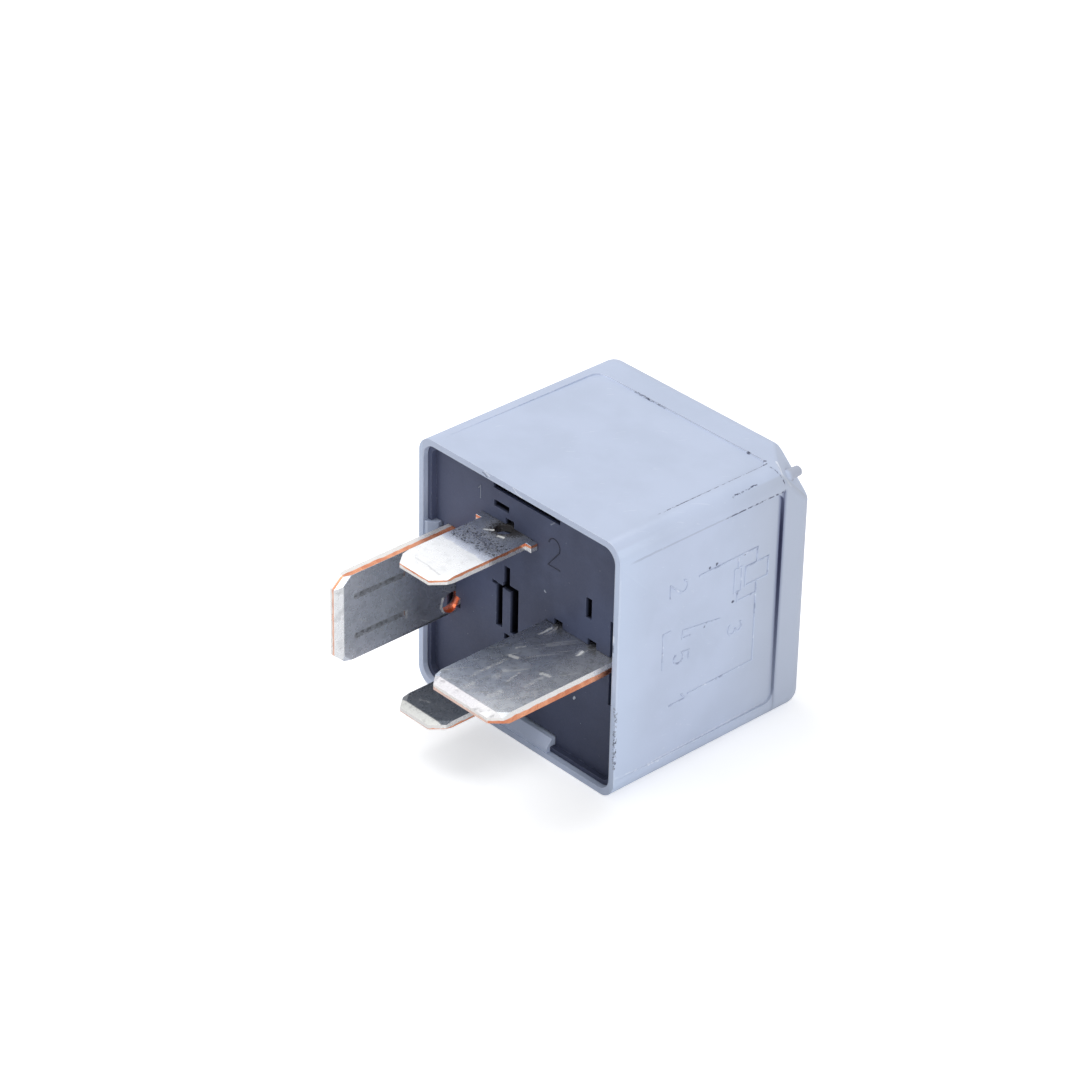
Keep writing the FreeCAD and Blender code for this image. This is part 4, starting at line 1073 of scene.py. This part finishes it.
panel = {
    "faceX": 14.0,
    # the side slopes in by this depth from the mouth to the step
    "depth": 0.3,
    "stepY": 21.4,
    "lineWidth": 0.24,
    "lineHeight": 0.08,
    "below": 0.01,
    # circuit lines as (z, y) from the middle of the cover's mouth
    "lines": [
        [(6.8, 10.5), (6.8, 18.35), (5.2, 18.35)],
        [(6.8, 15.83), (5.46, 15.83)],
        [(2.86, 15.83), (1.8, 15.83), (1.8, 18.35)],
        [(3.12, 18.35), (-5.95, 18.35), (-5.95, 9.6)],
        [(-1.8, 6.0), (2.15, 6.0), (2.15, 6.95)],
        [(0.62, 9.6), (0.7, 8.52), (1.55, 8.6), (0.78, 13.6)],
    ],
    "boxes": [
        [(2.86, 15.37), (5.46, 15.37), (5.46, 16.3), (2.86, 16.3)],
        [(3.12, 16.83), (5.2, 16.83), (5.2, 19.9), (3.12, 19.9)],
    ],
    # digit: middle z, lowest y, width, height
    "digits": [("2", 6.55, 6.75, 1.45, 2.25), ("1", -6.15, 7.1, 1.3, 2.2), ("5", -1.35, 7.5, 1.3, 2.0),
               ("3", -1.15, 14.8, 1.3, 1.8)],
}


def onSidePanel(z, y, height):
    # the lines stay a little below the plane of the mouth's edge
    depth = panel["depth"] * y / panel["stepY"]
    top = min(height, depth - panel["below"])
    return onPart(panel["faceX"] - depth + top, y, z)


def makeSideLines():
    mesh = bmesh.new()
    for path in panel["lines"]:
        ridge(mesh, path, panel["lineWidth"], panel["lineHeight"], onSidePanel)
    for path in panel["boxes"]:
        ridge(mesh, path, panel["lineWidth"], panel["lineHeight"], onSidePanel, closed=True)
    newPiece("circuit_lines", mesh, raisedPlastic, "root")


def makeSideDigits():
    # read with the blades pointing down, so a digit's right is towards -Z
    mesh = bmesh.new()
    for digit, middle, low, width, height in panel["digits"]:
        for line in digitStrokes[digit]:
            path = [(middle + (0.5 - u) * width, low + v * height) for u, v in line]
            ridge(mesh, path, panel["lineWidth"], panel["lineHeight"], onSidePanel)
    newPiece("side_digits", mesh, raisedPlastic, "root")


makeSideLines()
makeSideDigits()

baseMarks = {
    "height": 0.05,
    "lineWidth": 0.15,
    # middle x, lowest z, width, height
    "two": ("2", 3.9, 6.85, 1.75, 3.1),
    "one": ("1", -6.5, 9.75, 0.6, 1.4),
}


def onBase(x, z, height):
    return onPart(x, base["faceY"] - height, z)


def makeBaseDigit(name, mark, material):
    mesh = bmesh.new()
    digit, middle, low, width, height = mark
    for line in digitStrokes[digit]:
        path = [(middle + (u - 0.5) * width, low + v * height) for u, v in line]
        ridge(mesh, path, baseMarks["lineWidth"], baseMarks["height"], onBase)
    newPiece(name, mesh, material, "root")


makeBaseDigit("base_two", baseMarks["two"], markPlastic)
makeBaseDigit("base_one", baseMarks["one"], chalkPlastic)
print("raised lines and digits made")


def makeContactSpring():
    # the bent leaf, copied from its solid
    mesh = bmesh.new()
    mesh.from_mesh(cad["contact_spring"].data)
    bmesh.ops.remove_doubles(mesh, verts=mesh.verts, dist=weldGap * mm)
    piece = newPiece("contact_leaf", mesh, springBronze)
    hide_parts("contact_spring")
    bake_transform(piece)


makeContactSpring()
print("contact spring made")


# Floor, light and camera, with sizes and places in metres apart from the lens
stage = {
    "paper": (240, 241, 243),
    "paperLight": (246, 246, 247),
    "paperRoughness": 0.85,
    "paperNoise": (0.05, 3.0),
    "fibreNoise": (3.0, 3.0),
    "paperBump": 0.01,  # millimetres, as every bump
    "halfSide": 2.5,
    "below": 0.00003,
    "lift": 0.42,
    "worldLight": 0.41,
}
# place, target, size and power of each lamp
lights = {
    "keyLight": ((-0.25, -0.12, 0.55), (0, 0, 0.014), (0.45, 0.45), 2.45),
    "sideLight": ((0.5, -0.05, 0.22), (0, 0, 0.01), (0.4, 0.4), 1.25),
}
camera = {
    "place": (0.231330, -0.218455, 0.214041),
    "right": (0.673845, 0.738674, 0.017133),
    "up": (-0.394433, 0.340015, 0.853705),
    "back": (0.624784, -0.582023, 0.520475),
    "lens": 130.68,
    "sensor": 36,
    "clipStart": 0.01,
}


def makeFloorPaper():
    # lifted towards white for the camera alone, so that the object's shadow still falls on it
    material, tree, shader, place = newMaterial("floorPaper", Roughness=stage["paperRoughness"])
    pale = speckle(tree, place, *stage["paperNoise"])
    colour = mixColour(tree, pale, shade(*stage["paper"]), shade(*stage["paperLight"]))
    tree.links.new(colour, shader.inputs["Base Color"])
    bump(tree, shader, speckle(tree, place, *stage["fibreNoise"]), stage["paperBump"])
    seen = put(tree, "LightPath").outputs["Is Camera Ray"]
    lift = put(tree, "Emission", {"Color": (1, 1, 1, 1), "Strength": stage["lift"]})
    both = put(tree, "AddShader", {0: shader.outputs[0], 1: lift.outputs[0]})
    choose = put(tree, "MixShader", {0: seen, 1: shader.outputs[0], 2: both.outputs[0]})
    tree.links.new(choose.outputs[0], tree.nodes["Material Output"].inputs["Surface"])
    return material


def makeFloor():
    mesh = bmesh.new()
    bmesh.ops.create_grid(mesh, x_segments=2, y_segments=2, size=stage["halfSide"])
    bmesh.ops.translate(mesh, verts=mesh.verts, vec=(0, 0, -stage["below"]))
    data = bpy.data.meshes.new("floor")
    mesh.to_mesh(data)
    mesh.free()
    data.materials.append(makeFloorPaper())
    floor = bpy.data.objects.new("floor", data)
    bpy.context.scene.collection.objects.link(floor)


def makeWorld():
    # white where it is seen, dimmer where it lights the part
    world = bpy.data.worlds.new("studio")
    world.use_nodes = True
    bpy.context.scene.world = world
    tree = world.node_tree
    tree.nodes.clear()
    seen = put(tree, "LightPath").outputs
    sight = strongest(tree, seen["Is Camera Ray"], seen["Is Transmission Ray"], seen["Is Glossy Ray"])
    strength = ramp(tree, sight, 0.0, 1.0, stage["worldLight"], 1.0)
    sky = put(tree, "Background", {"Color": (1, 1, 1, 1), "Strength": strength})
    output = put(tree, "OutputWorld")
    tree.links.new(sky.outputs[0], output.inputs["Surface"])


def makeLamp(name, place, target, size, power):
    lamp = bpy.data.lights.new(name, "AREA")
    lamp.shape = "RECTANGLE"
    lamp.size, lamp.size_y = size
    lamp.energy = power
    lamp.color = (1, 1, 1)
    piece = bpy.data.objects.new(name, lamp)
    piece.location = place
    piece.rotation_euler = (Vector(target) - Vector(place)).to_track_quat("-Z", "Y").to_euler()
    bpy.context.scene.collection.objects.link(piece)


def makeCamera():
    # the photo's own view, as solved from the part's outlines
    data = bpy.data.cameras.new("camera")
    data.sensor_width = camera["sensor"]
    data.lens = camera["lens"]
    data.clip_start = camera["clipStart"]
    eye = bpy.data.objects.new("camera", data)
    turn = Matrix((camera["right"], camera["up"], camera["back"])).transposed()
    eye.matrix_world = Matrix.Translation(camera["place"]) @ turn.to_4x4()
    bpy.context.scene.collection.objects.link(eye)
    bpy.context.scene.camera = eye


makeFloor()
makeWorld()
for name, settings in lights.items():
    makeLamp(name, *settings)
makeCamera()
bpy.context.scene.view_settings.view_transform = "Standard"
print("stage, lights and camera made")
